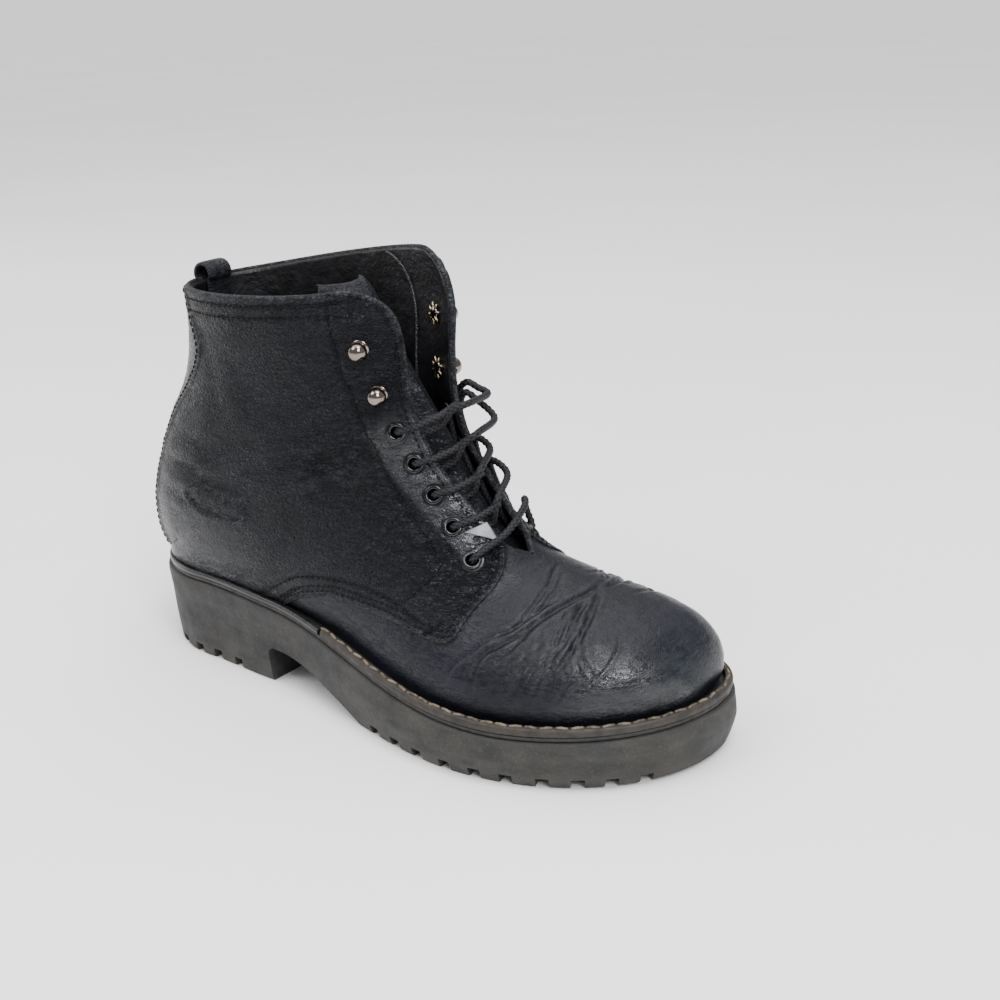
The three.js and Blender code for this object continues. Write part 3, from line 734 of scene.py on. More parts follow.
# --- finishes
class Shader:
    """A small wrapper that lays out the nodes of one material."""

    def __init__(self, name: str) -> None:
        """Starts a material with its shader and output."""
        self.material = bpy.data.materials.new(name)
        self.material.use_nodes = True
        self.tree = self.material.node_tree
        self.body = self.tree.nodes["Principled BSDF"]
        self.coords = self.tree.nodes.new("ShaderNodeTexCoord").outputs["Object"]

    def link(self, source: object, target: object) -> None:
        """Links a socket, or sets a value."""
        if isinstance(source, bpy.types.NodeSocket):
            self.tree.links.new(source, target)
        else:
            target.default_value = source

    def stretched(self, scale: tuple, turn: tuple = (0, 0, 0)) -> object:
        """Object coordinates, scaled and turned."""
        node = self.tree.nodes.new("ShaderNodeMapping")
        node.inputs["Scale"].default_value = scale
        node.inputs["Rotation"].default_value = turn
        self.link(self.coords, node.inputs["Vector"])
        return node.outputs[0]

    def noise(self, scale: float, detail: float = 3, rough: float = 0.55, vector: object = None,
              distortion: float = 0) -> object:
        """Noise texture's factor."""
        node = self.tree.nodes.new("ShaderNodeTexNoise")
        self.link(vector or self.coords, node.inputs["Vector"])
        for name, value in {"Scale": scale, "Detail": detail, "Roughness": rough, "Distortion": distortion}.items():
            node.inputs[name].default_value = value
        return node.outputs["Fac"]

    def cells(self, scale: float, vector: object) -> object:
        """Distance to the nearest cell wall of a Voronoi texture."""
        node = self.tree.nodes.new("ShaderNodeTexVoronoi")
        node.feature = "DISTANCE_TO_EDGE"
        self.link(vector, node.inputs["Vector"])
        node.inputs["Scale"].default_value = scale
        return node.outputs["Distance"]

    def attribute(self, name: str) -> object:
        """A number stored on the mesh."""
        node = self.tree.nodes.new("ShaderNodeAttribute")
        node.attribute_name = name
        return node.outputs["Fac"]

    def math(self, kind: str, a: object, b: object = 0.0, clamp: bool = False) -> object:
        """A Math node."""
        node = self.tree.nodes.new("ShaderNodeMath")
        node.operation = kind
        node.use_clamp = clamp
        self.link(a, node.inputs[0])
        self.link(b, node.inputs[1])
        return node.outputs[0]

    def ramp(self, source: object, low: float, high: float, start: float = 0.0, end: float = 1.0) -> object:
        """Maps low..high to start..end, held at both ends."""
        node = self.tree.nodes.new("ShaderNodeMapRange")
        self.link(source, node.inputs["Value"])
        for name, value in (("From Min", low), ("From Max", high), ("To Min", start), ("To Max", end)):
            node.inputs[name].default_value = value
        return node.outputs[0]

    def ridged(self, source: object) -> object:
        """Thin lines where a noise passes its middle."""
        away = self.math("ABSOLUTE", self.math("SUBTRACT", source, 0.5))
        return self.ramp(away, 0.0, 0.055, 1.0, 0.0)

    def mix(self, amount: object, a: object, b: object) -> object:
        """Mixes two colours."""
        node = self.tree.nodes.new("ShaderNodeMix")
        node.data_type = "RGBA"
        self.link(amount, node.inputs[0])
        for source, target in ((a, node.inputs[6]), (b, node.inputs[7])):
            self.link((*source, 1) if isinstance(source, tuple) else source, target)
        return node.outputs[2]

    def bump(self, height: object, depth_mm: float, strength: float = 1.0, under: object = None) -> object:
        """A Bump node's normal; depth in mm."""
        node = self.tree.nodes.new("ShaderNodeBump")
        node.inputs["Strength"].default_value = strength
        node.inputs["Distance"].default_value = depth_mm * MM
        self.link(height, node.inputs["Height"])
        if under is not None:
            self.link(under, node.inputs["Normal"])
        return node.outputs[0]

    def finish(self, color: object, roughness: object, normal: object = None,
               **fixed: object) -> Material:
        """Sets the shader's inputs.

        Args:
            color: socket or colour.
            roughness: socket or number.
            normal: socket or None.
            fixed: other inputs by name, with underscores for spaces.
        Returns:
            The material.
        """
        self.link((*color, 1) if isinstance(color, tuple) else color, self.body.inputs["Base Color"])
        self.link(roughness, self.body.inputs["Roughness"])
        if normal is not None:
            self.link(normal, self.body.inputs["Normal"])
        for name, value in fixed.items():
            self.body.inputs[name.replace("_", " ")].default_value = value
        return self.material


@dataclass(frozen=True)
class Leather:
    """Worn pebbled leather; the mesh says where it is smooth, creased, worn or scuffed, and where shade is painted
    into its colour.
    """

    name: str = "boot_leather"
    dark: tuple = (0.0028, 0.0031, 0.0056)
    light: tuple = (0.0070, 0.0077, 0.0130)
    worn: tuple = (0.046, 0.049, 0.056)
    scuffed: tuple = (0.032, 0.040, 0.042)
    # Near-black tone of the painted shade in creases, grooves and beside raised edges.
    painted_shade: tuple = (0.0016, 0.0017, 0.0022)

    def build(self) -> Material:
        """Lays out the nodes."""
        s = Shader(self.name)
        smooth, wear, scuff = s.attribute("smooth"), s.attribute("wear"), s.attribute("scuff")
        # dark says where shade is painted into the colour; shine only changes the gloss.
        dark, shine = s.attribute("dark"), s.attribute("shine")
        swirl = s.stretched((1, 1, 1.5), (0.15, -0.25, 0))
        edges = s.cells(430, swirl)
        pebbles = s.ramp(edges, 0.0, 0.24)
        broad = s.ramp(s.cells(250, swirl), 0.0, 0.14)
        fine = s.noise(1500, 4, 0.6)
        folds = s.ridged(s.noise(1, 4, 0.6, s.stretched((120, 120, 430), (0.2, 0.35, 0)), 0.7))
        web = s.ridged(s.noise(1, 4, 0.6, s.stretched((420, 230, 230), (0.1, -0.5, 0.35)), 0.6))
        base = s.mix(s.ramp(s.noise(28, 5, 0.6), 0.35, 0.68), self.dark, self.light)
        worn = s.math("MULTIPLY", wear, s.ramp(s.noise(240, 4, 0.65), 0.30, 0.62), True)
        base = s.mix(worn, base, self.worn)
        patchy = s.math("MULTIPLY", scuff, s.ramp(s.noise(130, 5, 0.68), 0.40, 0.66), True)
        base = s.mix(patchy, base, self.scuffed)
        # Painted shade: the colour darkens to near black in the pebbles' grooves and wherever the mesh's dark look
        # lies.
        painted_grain_shade = s.math("MULTIPLY", s.ramp(pebbles, 0, 1, 0.85, 0), s.ramp(smooth, 0, 1, 1, 0.2))
        base = s.mix(s.math("MAXIMUM", s.math("MULTIPLY", dark, 0.92), painted_grain_shade), base, self.painted_shade)
        rough = s.ramp(s.noise(75, 4, 0.6), 0.3, 0.7, 0.29, 0.40)
        rough = s.math("ADD", rough, s.math("MULTIPLY", patchy, 0.25))
        rough = s.math("ADD", rough, s.math("MULTIPLY", worn, 0.15), True)
        rough = s.math("SUBTRACT", rough, s.math("MULTIPLY", shine, 0.13), True)
        keep = s.ramp(smooth, 0, 1, 1.0, 0.09)
        grain = s.math("MULTIPLY", s.math("ADD", pebbles, s.math("MULTIPLY", broad, 0.6)), keep)
        tops = s.bump(grain, 0.30, 0.9)
        tops = s.bump(s.math("MULTIPLY", folds, s.ramp(smooth, 0, 1, 1.0, 0.12)), -0.70, 0.9, tops)
        tops = s.bump(s.math("MULTIPLY", web, s.ramp(smooth, 0, 1, 0.1, 0.6)), -0.07, 0.8, tops)
        tops = s.bump(fine, 0.03, 0.4, tops)
        level = s.ramp(s.math("MAXIMUM", shine, s.math("MULTIPLY", smooth, 0.25)), 0, 1, 0.12, 0.46)
        s.link(level, s.body.inputs["Specular IOR Level"])
        return s.finish(base, rough, tops)


@dataclass(frozen=True)
class Plain:
    """A finish of two mixed tones with grain, for soles, threads, linings and bindings."""

    name: str
    dark: tuple
    light: tuple
    scale: float = 120
    rough: tuple = (0.5, 0.75)
    grain_scale: float = 900
    grain_mm: float = 0.15
    metallic: float = 0.0
    specular: float = 0.5
    stretch: tuple = (1, 1, 1)

    def build(self) -> Material:
        """Lays out the nodes."""
        s = Shader(self.name)
        cloud = s.noise(self.scale, 5, 0.62, s.stretched(self.stretch))
        base = s.mix(s.ramp(cloud, 0.36, 0.66), self.dark, self.light)
        rough = s.ramp(s.noise(self.scale * 1.7, 4), 0.3, 0.7, *self.rough)
        normal = s.bump(s.noise(self.grain_scale, 4, 0.6), self.grain_mm, 0.8)
        return s.finish(base, rough, normal, Metallic=self.metallic, Specular_IOR_Level=self.specular)


@dataclass(frozen=True)
class SoleRubber:
    """Matt dark rubber, dusty brown in patches and along its lower edge."""

    name: str = "sole_rubber"
    dark: tuple = (0.0140, 0.0140, 0.0142)
    light: tuple = (0.028, 0.0272, 0.0265)
    dust: tuple = (0.048, 0.041, 0.031)

    def build(self) -> Material:
        """Lays out the nodes."""
        s = Shader(self.name)
        streaks = s.noise(1, 5, 0.6, s.stretched((60, 60, 240)))
        base = s.mix(s.ramp(streaks, 0.35, 0.68), self.dark, self.light)
        patch = s.ramp(s.noise(26, 6, 0.66), 0.50, 0.72, 0, 0.55)
        base = s.mix(patch, base, self.dust)
        split = s.tree.nodes.new("ShaderNodeSeparateXYZ")
        s.link(s.coords, split.inputs[0])
        low = s.ramp(split.outputs[2], 0.001, 0.007, 0.6, 0.0)
        base = s.mix(s.math("MULTIPLY", low, s.ramp(s.noise(180, 4), 0.35, 0.6)), base, (0.07, 0.062, 0.052))
        rough = s.ramp(s.noise(90, 4), 0.3, 0.7, 0.58, 0.8)
        base = s.mix(s.ramp(s.noise(900, 2), 0.56, 0.74, 0, 0.35), base, (0.07, 0.066, 0.058))
        normal = s.bump(s.noise(750, 4, 0.65), 0.30, 0.9)
        normal = s.bump(s.noise(160, 5, 0.6), 0.35, 0.5, normal)
        return s.finish(base, rough, normal, Specular_IOR_Level=0.35)


@dataclass(frozen=True)
class Cord:
    """Round braided lace, with painted shade in its valleys: the colour darkens where the braid lies low."""

    name: str = "lace_cord"
    # dark is the painted shade of the braid's valleys.
    dark: tuple = (0.0008, 0.0008, 0.001)
    light: tuple = (0.018, 0.018, 0.021)

    def build(self) -> Material:
        """Lays out the nodes."""
        s = Shader(self.name)
        # Painted shade: the colour follows the braid's height, dark in its valleys.
        braid = s.ramp(s.attribute("braid"), 0.75, 1.45)
        base = s.mix(braid, self.dark, self.light)
        normal = s.bump(s.noise(2600, 3, 0.6), 0.1, 0.8)
        return s.finish(base, 0.55, normal, Specular_IOR_Level=0.16)


@dataclass(frozen=True)
class Metal:
    """Plated metal with a trace of tarnish."""

    name: str
    color: tuple
    tarnish: tuple
    rough: tuple = (0.12, 0.28)

    def build(self) -> Material:
        """Lays out the nodes."""
        s = Shader(self.name)
        cloud = s.noise(300, 4, 0.6)
        base = s.mix(s.ramp(cloud, 0.45, 0.75), self.color, self.tarnish)
        rough = s.ramp(s.noise(700, 3), 0.3, 0.7, *self.rough)
        return s.finish(base, rough, s.bump(s.noise(1800, 2), 0.02, 0.5), Metallic=1.0)


# --- upper
@dataclass(frozen=True)
class Crease:
    """A fold in the leather: a soft trough with a ridge beside it.

    points are rows and shares; a share below 0 lies on the inner side.
    """

    points: tuple
    depth: float
    width: float
    ridge: float = 0.6


@dataclass(frozen=True)
class Hole:
    """A place for an eyelet or a stud, the same on both facings."""

    row: float
    share: float


EYELETS = (Hole(9.36, 0.274), Hole(10.96, 0.252), Hole(12.54, 0.235), Hole(14.32, 0.228), Hole(16.36, 0.228))
STUDS = (Hole(18.96, 0.243), Hole(21.5, 0.282))


class Upper:
    """Vamp, quarters, backstay and lining, sewn together."""

    steps_u = 288
    steps_v = 124
    panel = 0.9                 # how far a quarter stands over the vamp
    thread = 0.75
    pitch = 2.9                 # from one stitch to the next

    patch_corners = ((10.50, 0.232), (9.42, 0.128), (10.42, 0.128))
    quarter_edge = ((11.72, 1.0), (11.62, 0.975), (11.6, 0.89), (11.54, 0.812), (11.27, 0.762), (10.91, 0.730),
                    (10.20, 0.695), (9.35, 0.662), (8.6, 0.645), (7.97, 0.630), (7.66, 0.60), (7.60, 0.555),
                    (7.74, 0.466), (7.82, 0.394), (7.92, 0.300), (8.2, 0.215), (8.62, 0.16), (8.95, 0.14))
    outer_row = ((12.30, 0.995), (12.26, 0.93), (12.20, 0.857), (12.17, 0.769), (12.00, 0.721), (11.46, 0.665),
                 (10.81, 0.626), (9.99, 0.603), (9.3, 0.600), (8.7, 0.602))
    stay_row = ((23.45, 0.330), (22.55, 0.343), (21.48, 0.338), (20.61, 0.329), (19.69, 0.307), (18.56, 0.298),
                (16.79, 0.292), (16.28, 0.293), (14.91, 0.303), (13.67, 0.315), (12.70, 0.326), (11.60, 0.341),
                (10.64, 0.358), (9.95, 0.38), (9.76, 0.41), (9.70, 0.467), (9.64, 0.540), (9.7, 0.60))
    backstay = ((24, 0.765), (23.5, 0.745), (23, 0.722), (22.6, 0.704), (22.2, 0.712), (21.5, 0.745),
                (21, 0.772), (20.5, 0.792), (20, 0.806), (19.5, 0.815), (19, 0.82), (18.4, 0.825),
                (17.8, 0.83), (17.2, 0.845), (16.9, 0.88), (16.8, 0.94), (16.75, 1.0))
    creases = (
        Crease(((6.33, 0.84), (6.48, 0.712), (6.59, 0.594), (6.32, 0.500), (6.07, 0.425), (5.87, 0.296),
                (5.64, 0.149), (5.51, 0.03), (5.6, -0.1)), 1.0, 1.05, 0.9),
        Crease(((6.9, 0.60), (6.75, 0.50), (6.35, 0.40), (6.15, 0.28), (6.3, 0.12), (6.6, 0.02)), 0.55, 0.9),
        Crease(((6.2, 0.62), (6.05, 0.54), (5.95, 0.44), (5.8, 0.33)), 0.5, 0.9),
        Crease(((4.70, 0.80), (4.66, 0.648), (4.61, 0.492), (4.75, 0.260), (5.11, 0.083),
                (5.45, -0.02)), 0.9, 1.0, 0.8),
        Crease(((4.9, 0.78), (4.87, 0.69), (4.80, 0.60), (4.84, 0.52)), 0.65, 0.85, 1.1),
        Crease(((5.15, 0.70), (5.1, 0.60), (4.95, 0.50), (4.9, 0.38), (5.2, 0.2), (5.45, 0.06)), 0.55, 0.85),
        Crease(((3.98, 0.74), (3.80, 0.65), (3.63, 0.560), (3.58, 0.47), (3.66, 0.34),
                (3.9, 0.24)), 0.6, 0.9),
        Crease(((4.35, 0.80), (4.28, 0.70), (4.15, 0.62), (4.2, 0.52)), 0.5, 0.85, 0.9),
        Crease(((4.1, 0.76), (4.02, 0.68), (3.95, 0.61)), 0.45, 0.8, 0.9),
        Crease(((6.66, 0.10), (6.40, 0.233), (6.30, 0.374), (6.5, 0.47)), 0.55, 0.9),
        Crease(((7.1, -0.05), (6.9, 0.03), (6.62, 0.10), (6.4, 0.15)), 0.45, 0.9),
        Crease(((5.85, 0.80), (5.75, 0.69), (5.6, 0.60), (5.45, 0.50), (5.35, 0.36)), 0.6, 0.9),
        Crease(((5.65, 0.76), (5.52, 0.66), (5.38, 0.58)), 0.5, 0.85),
        Crease(((5.45, 0.83), (5.35, 0.75), (5.28, 0.66)), 0.45, 0.85),
        Crease(((7.15, 0.84), (7.1, 0.75), (7.2, 0.66)), 0.45, 1.0),
        Crease(((5.5, 0.0), (5.35, -0.12), (5.5, -0.3), (5.7, -0.46), (5.9, -0.62),
                (6.0, -0.75)), 0.9, 1.0, 0.8),
        Crease(((6.2, -0.1), (6.1, -0.28), (6.35, -0.45), (6.5, -0.6)), 0.6, 0.95),
        Crease(((4.7, -0.1), (4.6, -0.28), (4.7, -0.5), (4.85, -0.68)), 0.6, 0.95),
        Crease(((4.0, -0.3), (3.8, -0.45), (3.9, -0.62)), 0.45, 0.9),
        Crease(((17.95, 0.53), (17.5, 0.46), (16.93, 0.412), (16.74, 0.355), (16.2, 0.30),
                (15.9, 0.26)), 1.3, 3.0, 0.8),
        Crease(((16.9, 0.50), (16.3, 0.44), (15.9, 0.38), (15.7, 0.31)), 0.8, 2.4),
        Crease(((18.6, 0.44), (18.1, 0.385), (17.6, 0.335)), 0.6, 2.4),
        Crease(((19.9, 0.80), (19.6, 0.715), (18.94, 0.653), (18.2, 0.61), (17.5, 0.56)), 1.1, 3.2, 0.8),
        Crease(((19.2, 0.82), (18.9, 0.74), (18.3, 0.69), (17.6, 0.64)), 0.6, 2.4),
        Crease(((20.5, 0.76), (20.0, 0.66), (19.3, 0.60), (18.9, 0.52)), 0.7, 3.4),
        Crease(((17.9, -0.53), (17.4, -0.45), (16.9, -0.39), (16.6, -0.32)), 1.2, 3.0, 0.8),
        Crease(((19.8, -0.78), (19.2, -0.68), (18.4, -0.61), (17.5, -0.54)), 1.0, 3.0, 0.8),
        Crease(((16.6, -0.5), (16.1, -0.42), (15.8, -0.34)), 0.7, 2.4),
        Crease(((22.6, 0.62), (21.6, 0.56), (20.6, 0.53), (19.8, 0.47)), 0.55, 5.0, 0.4),
        Crease(((23.2, 0.70), (22.2, 0.66), (21.3, 0.62), (20.6, 0.60)), 0.5, 4.0, 0.4),
    )

    def __init__(self) -> None:
        """Works out the lines that the relief needs."""
        self.lines = {}
        for name in ("quarter_edge", "outer_row", "stay_row", "backstay"):
            route = catmull(np.array(getattr(self, name)), 8)
            for side in Side:
                self.lines[name, side] = (route, FORM.point(route[:, 0], route[:, 1], side))
        every = (*self.creases, *self.fine_creases())
        self.folds = [(crease, self.signed_line(np.array(crease.points))) for crease in every]
        quarter = self.lines["quarter_edge", Side.LATERAL][0]
        self.quarter_outline = np.vstack([quarter, [(8.95, -0.2), (24.6, -0.2), (24.6, 1.2), (11.72, 1.2)]])
        strip = self.lines["backstay", Side.LATERAL][0]
        self.strip_outline = np.vstack([strip, [(16.75, 1.2), (24.6, 1.2), (24.6, 0.765)]])

    @staticmethod
    def fine_creases() -> list:
        """Short thin folds that fan out from the ridge over the flex of the foot."""
        rng = np.random.default_rng(11)
        folds = []
        for k in range(84):
            end, start, reach = rng.uniform(3.2, 7.5), rng.uniform(0.04, 0.58), rng.uniform(0.10, 0.34)
            t = np.linspace(start, start + reach, 5)
            u = 5.5 + (end - 5.5) * (t / 0.8) ** 0.8 + rng.normal(0, 0.05, 5)
            sign = -1 if k % 3 == 2 else 1
            depth, width = rng.uniform(0.16, 0.36), rng.uniform(0.6, 0.85)
            folds.append(Crease(tuple(zip(u, sign * t)), depth, width, 0.8))
        return folds

    @staticmethod
    def signed_line(points: Array) -> Array:
        """A smooth line on the surface through rows and signed shares."""
        route = catmull(points, 8)
        lateral = FORM.point(route[:, 0], np.abs(route[:, 1]), Side.LATERAL)
        medial = FORM.point(route[:, 0], np.abs(route[:, 1]), Side.MEDIAL)
        return np.where(route[:, 1:] >= 0, lateral, medial)

    def relief(self, u: Array, v: Array, side: Side, points: Array) -> dict:
        """How far the leather stands off the form, and what it looks like there.

        Args:
            u: rows, one a point.
            v: shares, one a point.
            side: which side.
            points: (n, 3) array of the form's points.
        Returns:
            Arrays named height, smooth, wear, scuff, dark and shine; dark is painted shade beside raised edges, in
            stitch grooves, in creases and in the badge's hollow.
        """
        count = len(u)
        height, wear = np.zeros(count), np.zeros(count)
        # dark gathers the painted shade.
        dark, scuff = np.zeros(count), np.zeros(count)
        on_quarter = inside(u, v, self.quarter_outline)
        route, line = self.lines["quarter_edge", side]
        gap, _ = distance_to(points, line)
        signed = np.where(on_quarter, gap, -gap)
        step = ease((signed + 0.5) / 1.0)
        height += self.panel * step
        # Painted shade: a dark band on the vamp just outside the quarter's raised edge.
        dark += 0.8 * np.exp(-((signed + 1.0) / 0.7) ** 2)
        wear += 0.55 * np.exp(-((signed - 0.5) / 0.7) ** 2)
        on_strip = inside(u, v, self.strip_outline)
        gap, _ = distance_to(points, self.lines["backstay", side][1])
        signed_strip = np.where(on_strip, gap, -gap)
        height += 0.6 * ease((signed_strip + 0.5) / 1.0)
        # Painted shade: a dark band just in front of the backstay strip's raised edge.
        dark += 0.75 * np.exp(-((signed_strip + 0.7) / 0.7) ** 2)
        wear += 0.25 * np.exp(-((signed_strip - 0.8) / 0.8) ** 2)
        for name in ("outer_row", "stay_row"):
            gap, _ = distance_to(points, self.lines[name, side][1])
            height -= 0.45 * np.exp(-(gap / 1.1) ** 2)
            # Painted shade along the stitch row's groove.
            dark += 0.6 * np.exp(-(gap / 0.8) ** 2)
            wear += 0.12 * np.exp(-((gap - 1.8) / 0.7) ** 2)
        for inset in (1.7, 3.9):
            height -= 0.22 * np.exp(-((signed - inset) / 0.8) ** 2)
        top = FORM.point(np.full(count, float(FORM.last)), v, side)
        below = np.linalg.norm(top - points, axis=1)
        for depth, amount in ((3.2, 0.3), (8.2, 0.35)):
            height -= amount * np.exp(-((below - depth) / 0.9) ** 2)
        wear += 0.6 * np.exp(-(below / 1.4) ** 2)
        throat = FORM.point(u, np.minimum(1, FORM.throat(u, side)), side)
        beside = np.where(u > FORM.throat_row + 0.6, np.linalg.norm(throat - points, axis=1), 99)
        height -= 0.28 * np.exp(-((beside - 2.6) / 0.9) ** 2)
        wear += 0.6 * np.exp(-(beside / 1.2) ** 2)
        for crease, fold in self.folds:
            gap, along = distance_to(points, fold)
            fade = np.sin(np.pi * np.clip(along, 0.02, 0.98)) ** 0.6
            trough = np.exp(-(gap / crease.width) ** 1.6)
            soft = np.exp(-(gap / (3.2 * crease.width)) ** 2)
            beside_fold = np.exp(-((gap - 2.0 * crease.width) / (1.0 * crease.width)) ** 2)
            height += fade * crease.depth * (crease.ridge * 0.5 * beside_fold - 0.95 * trough - 0.3 * soft)
            wear += 0.16 * fade * beside_fold * min(1.0, crease.depth)
            # Painted shade in the crease's trough.
            dark += 0.5 * fade * crease.depth * np.exp(-(gap / (0.6 * crease.width)) ** 2)
        for hole in EYELETS:
            spot = FORM.point(hole.row, hole.share, side)
            near = np.linalg.norm(points - spot, axis=1)
            height += 0.25 * np.exp(-((near - 6.5) / 1.6) ** 2) - 0.35 * np.exp(-(near / 5.0) ** 4)
            wear += 0.12 * np.exp(-((near - 6.5) / 2) ** 2)
        for hole in STUDS:
            spot = FORM.point(hole.row, hole.share, side)
            near = np.linalg.norm(points - spot, axis=1)
            height -= 0.4 * np.exp(-(near / 4.5) ** 2)
        calm = ease((points[:, 2] - 34) / 30)
        height += 0.55 * bumps(points, 34, 3.1) * calm + 0.22 * bumps(points, 13, 7.7) * calm
        height += 0.12 * bumps(points * [1, 1, 2.2], 5.2, 1.3)
        ankle = np.exp(-((points[:, 2] - 100) / 26) ** 2) * ease((150 - points[:, 0]) / 40)
        height += ankle * 0.35 * bumps(points * [0.5, 0.5, 1.9], 7.5, 4.4)
        if side is Side.LATERAL:
            pressed = self.badge(points)
            height += pressed
            # Painted shade in the badge's pressed hollow.
            dark += 0.9 * np.clip(-pressed, 0, 1)
            wear += 0.5 * np.clip(pressed, 0, 1)
        toe = np.exp(-(np.linalg.norm((points - [268, -8, 38]) / [13, 26, 12], axis=1)) ** 2)
        scuff += 0.55 * toe
        scuff += 0.25 * np.exp(-(np.linalg.norm((points - [252, -28, 52]) / [14, 12, 6], axis=1)) ** 2)
        facing = ease((0.31 - v) / 0.03) * ease((u - 9) / 1) * ease((18.2 - u) / 2.4)
        smooth = np.clip(np.maximum(1 - ease((signed + 1) / 2), facing * 0.75), 0, 1)
        smooth = np.maximum(smooth, 0.6 * np.exp(-((points[:, 2] - 45) / 14) ** 2))
        counter = np.exp(-((points[:, 2] - 52) / 24) ** 2) * ease((100 - points[:, 0]) / 45)
        smooth = np.maximum(smooth, 0.85 * counter)
        shine = np.maximum(facing, np.maximum(0.5 * counter, 0.4 * on_strip))
        shine = np.maximum(shine, ease((u - 0.3) / 1) * ease((5.2 - u) / 2) * ease((v - 0.25) / 0.3))
        return {"height": height, "smooth": np.clip(smooth, 0, 1), "wear": np.clip(wear, 0, 1),
                "scuff": np.clip(scuff, 0, 1), "dark": np.clip(dark, 0, 1), "shine": shine}

    @staticmethod
    def badge(points: Array) -> Array:
        """Height of a plain oval, pressed into the outer heel."""
        slope = math.radians(-7)
        dx, dz = points[:, 0] - 57.5, points[:, 2] - 75
        a = (dx * math.cos(slope) + dz * math.sin(slope)) / 18.5
        b = (-dx * math.sin(slope) + dz * math.cos(slope)) / 6.6
        r = np.hypot(a, b)
        near = points[:, 1] < -15
        steepness = np.hypot(a / 18.5, b / 6.6) / np.maximum(r, 1e-6)
        beyond = (r - 1) / np.maximum(steepness, 1e-3)
        rim = 0.6 * np.exp(-(beyond / 0.9) ** 2) - 0.55 * np.exp(-((beyond + 1.9) / 0.9) ** 2)
        floor = -0.3 * ease((-1.5 - beyond) / 1.5)
        veins = 0.16 * np.cos(a * 21) * ease((0.75 - r) / 0.15)
        return near * (rim + floor + veins)

    def surface(self, u: Array, v: Array, side: Side, lift: float = 0.0) -> tuple[Array, Array]:
        """Places on the finished leather, with their normals."""
        points = FORM.point(u, v, side)
        normals = FORM.normal(u, v, side)
        off = self.relief(np.asarray(u, float), np.asarray(v, float), side, points)["height"] + lift
        return points + normals * off[:, None], normals

    def shell(self, leather: Material) -> Piece:
        """The upper itself, a closed wall, finer outside than inside."""
        rows = self.spread_rows()
        outer_ids = {}
        points, looks = [], []
        known: dict = {}
        for side in Side:
            starts = FORM.throat(rows, side)
            u = np.repeat(rows[:, None], self.steps_v + 1, axis=1)
            v = starts[:, None] + (1 - starts)[:, None] * np.linspace(0, 1, self.steps_v + 1)[None]
            flat = FORM.point(u.ravel(), v.ravel(), side)
            look = self.relief(u.ravel(), v.ravel(), side, flat)
            ids = np.zeros(u.shape, int)
            for i in range(len(rows)):
                for j in range(self.steps_v + 1):
                    key = (side, i, j)
                    if rows[i] == 0:
                        key = "tip"
                    elif j == 0 and rows[i] <= FORM.throat_row:
                        key = ("ridge", i)
                    elif j == self.steps_v and rows[i] >= FORM.last_feather_row:
                        key = ("seam", i)
                    if key not in known:
                        known[key] = len(points)
                        k = i * (self.steps_v + 1) + j
                        points.append(flat[k])
                        looks.append([look[n][k] for n in ("height", *LOOKS)])
                    ids[i, j] = known[key]
            outer_ids[side] = ids
        points, looks = np.array(points), np.array(looks)
        lateral, medial = (sheet_faces(outer_ids[side]) for side in Side)
        quads = np.vstack([lateral[:, ::-1], medial])
        normals = self.grid_normals(points, quads)
        centre = unit(points - np.array([120, 0, 60]))
        if np.median(np.sum(normals * centre, axis=1)) < 0:
            normals, quads = -normals, quads[:, ::-1]
        outside = points + normals * looks[:, :1]
        rank = -np.ones(len(points), int)
        inner_ids = {}
        chosen = []
        for side in Side:
            coarse = outer_ids[side][::2, ::2]
            for i in coarse.ravel():
                if rank[i] < 0:
                    rank[i] = len(chosen)
                    chosen.append(i)
            inner_ids[side] = rank[coarse]
        chosen = np.array(chosen)
        inward = normals[chosen].copy()
        feather = points[chosen][:, 2] < SOLE.welt_floor(points[chosen][:, 0]) + 0.05
        inward[feather, 2] = 0
        inside_points = points[chosen] - unit(inward) * FORM.wall
        wrinkle = 0.35 * bumps(inside_points * [1, 1, 0.7], 6.0, 2.2)
        inside_points -= unit(inward) * (np.where(feather, 0, wrinkle) * 0.6)[:, None]
        base = len(points)
        lateral, medial = (sheet_faces(inner_ids[side]) for side in Side)
        inner_quads = np.vstack([lateral, medial[:, ::-1]])
        faces = tidy_faces(quads) + tidy_faces(inner_quads + base)
        faces += self.rim(faces, base, rank)
        obj = mesh_object("upper_leather", np.vstack([outside, inside_points]), faces)
        for k, name in enumerate(LOOKS):
            inner_value = np.full(len(inside_points), 0.35 if name == "smooth" else 0.0)
            set_attribute(obj, name, np.concatenate([looks[:, k + 1], inner_value]))
        obj.data.materials.append(leather)
        obj["outer_faces"] = len(quads)
        return obj

    def spread_rows(self) -> Array:
        """Rows of the shell, closest over the vamp's creases and at the collar."""
        u = np.linspace(0, FORM.last, 2401)
        dense = 1 + 1.1 * ease((u - 2.4) / 1.2) * ease((8.0 - u) / 1.2) + 1.2 * ease((u - 23.2) / 0.8)
        along = np.concatenate([[0], np.cumsum((dense[1:] + dense[:-1]) / 2)])
        return np.interp(np.linspace(0, along[-1], self.steps_u + 1), along, u)

    @staticmethod
    def grid_normals(points: Array, quads: Array) -> Array:
        """Vertex normals from the quads round each vertex."""
        a, b, c, d = (points[quads[:, k]] for k in range(4))
        cross = np.cross(c - a, d - b)
        normals = np.zeros_like(points)
        for k in range(4):
            np.add.at(normals, quads[:, k], cross)
        return unit(normals)

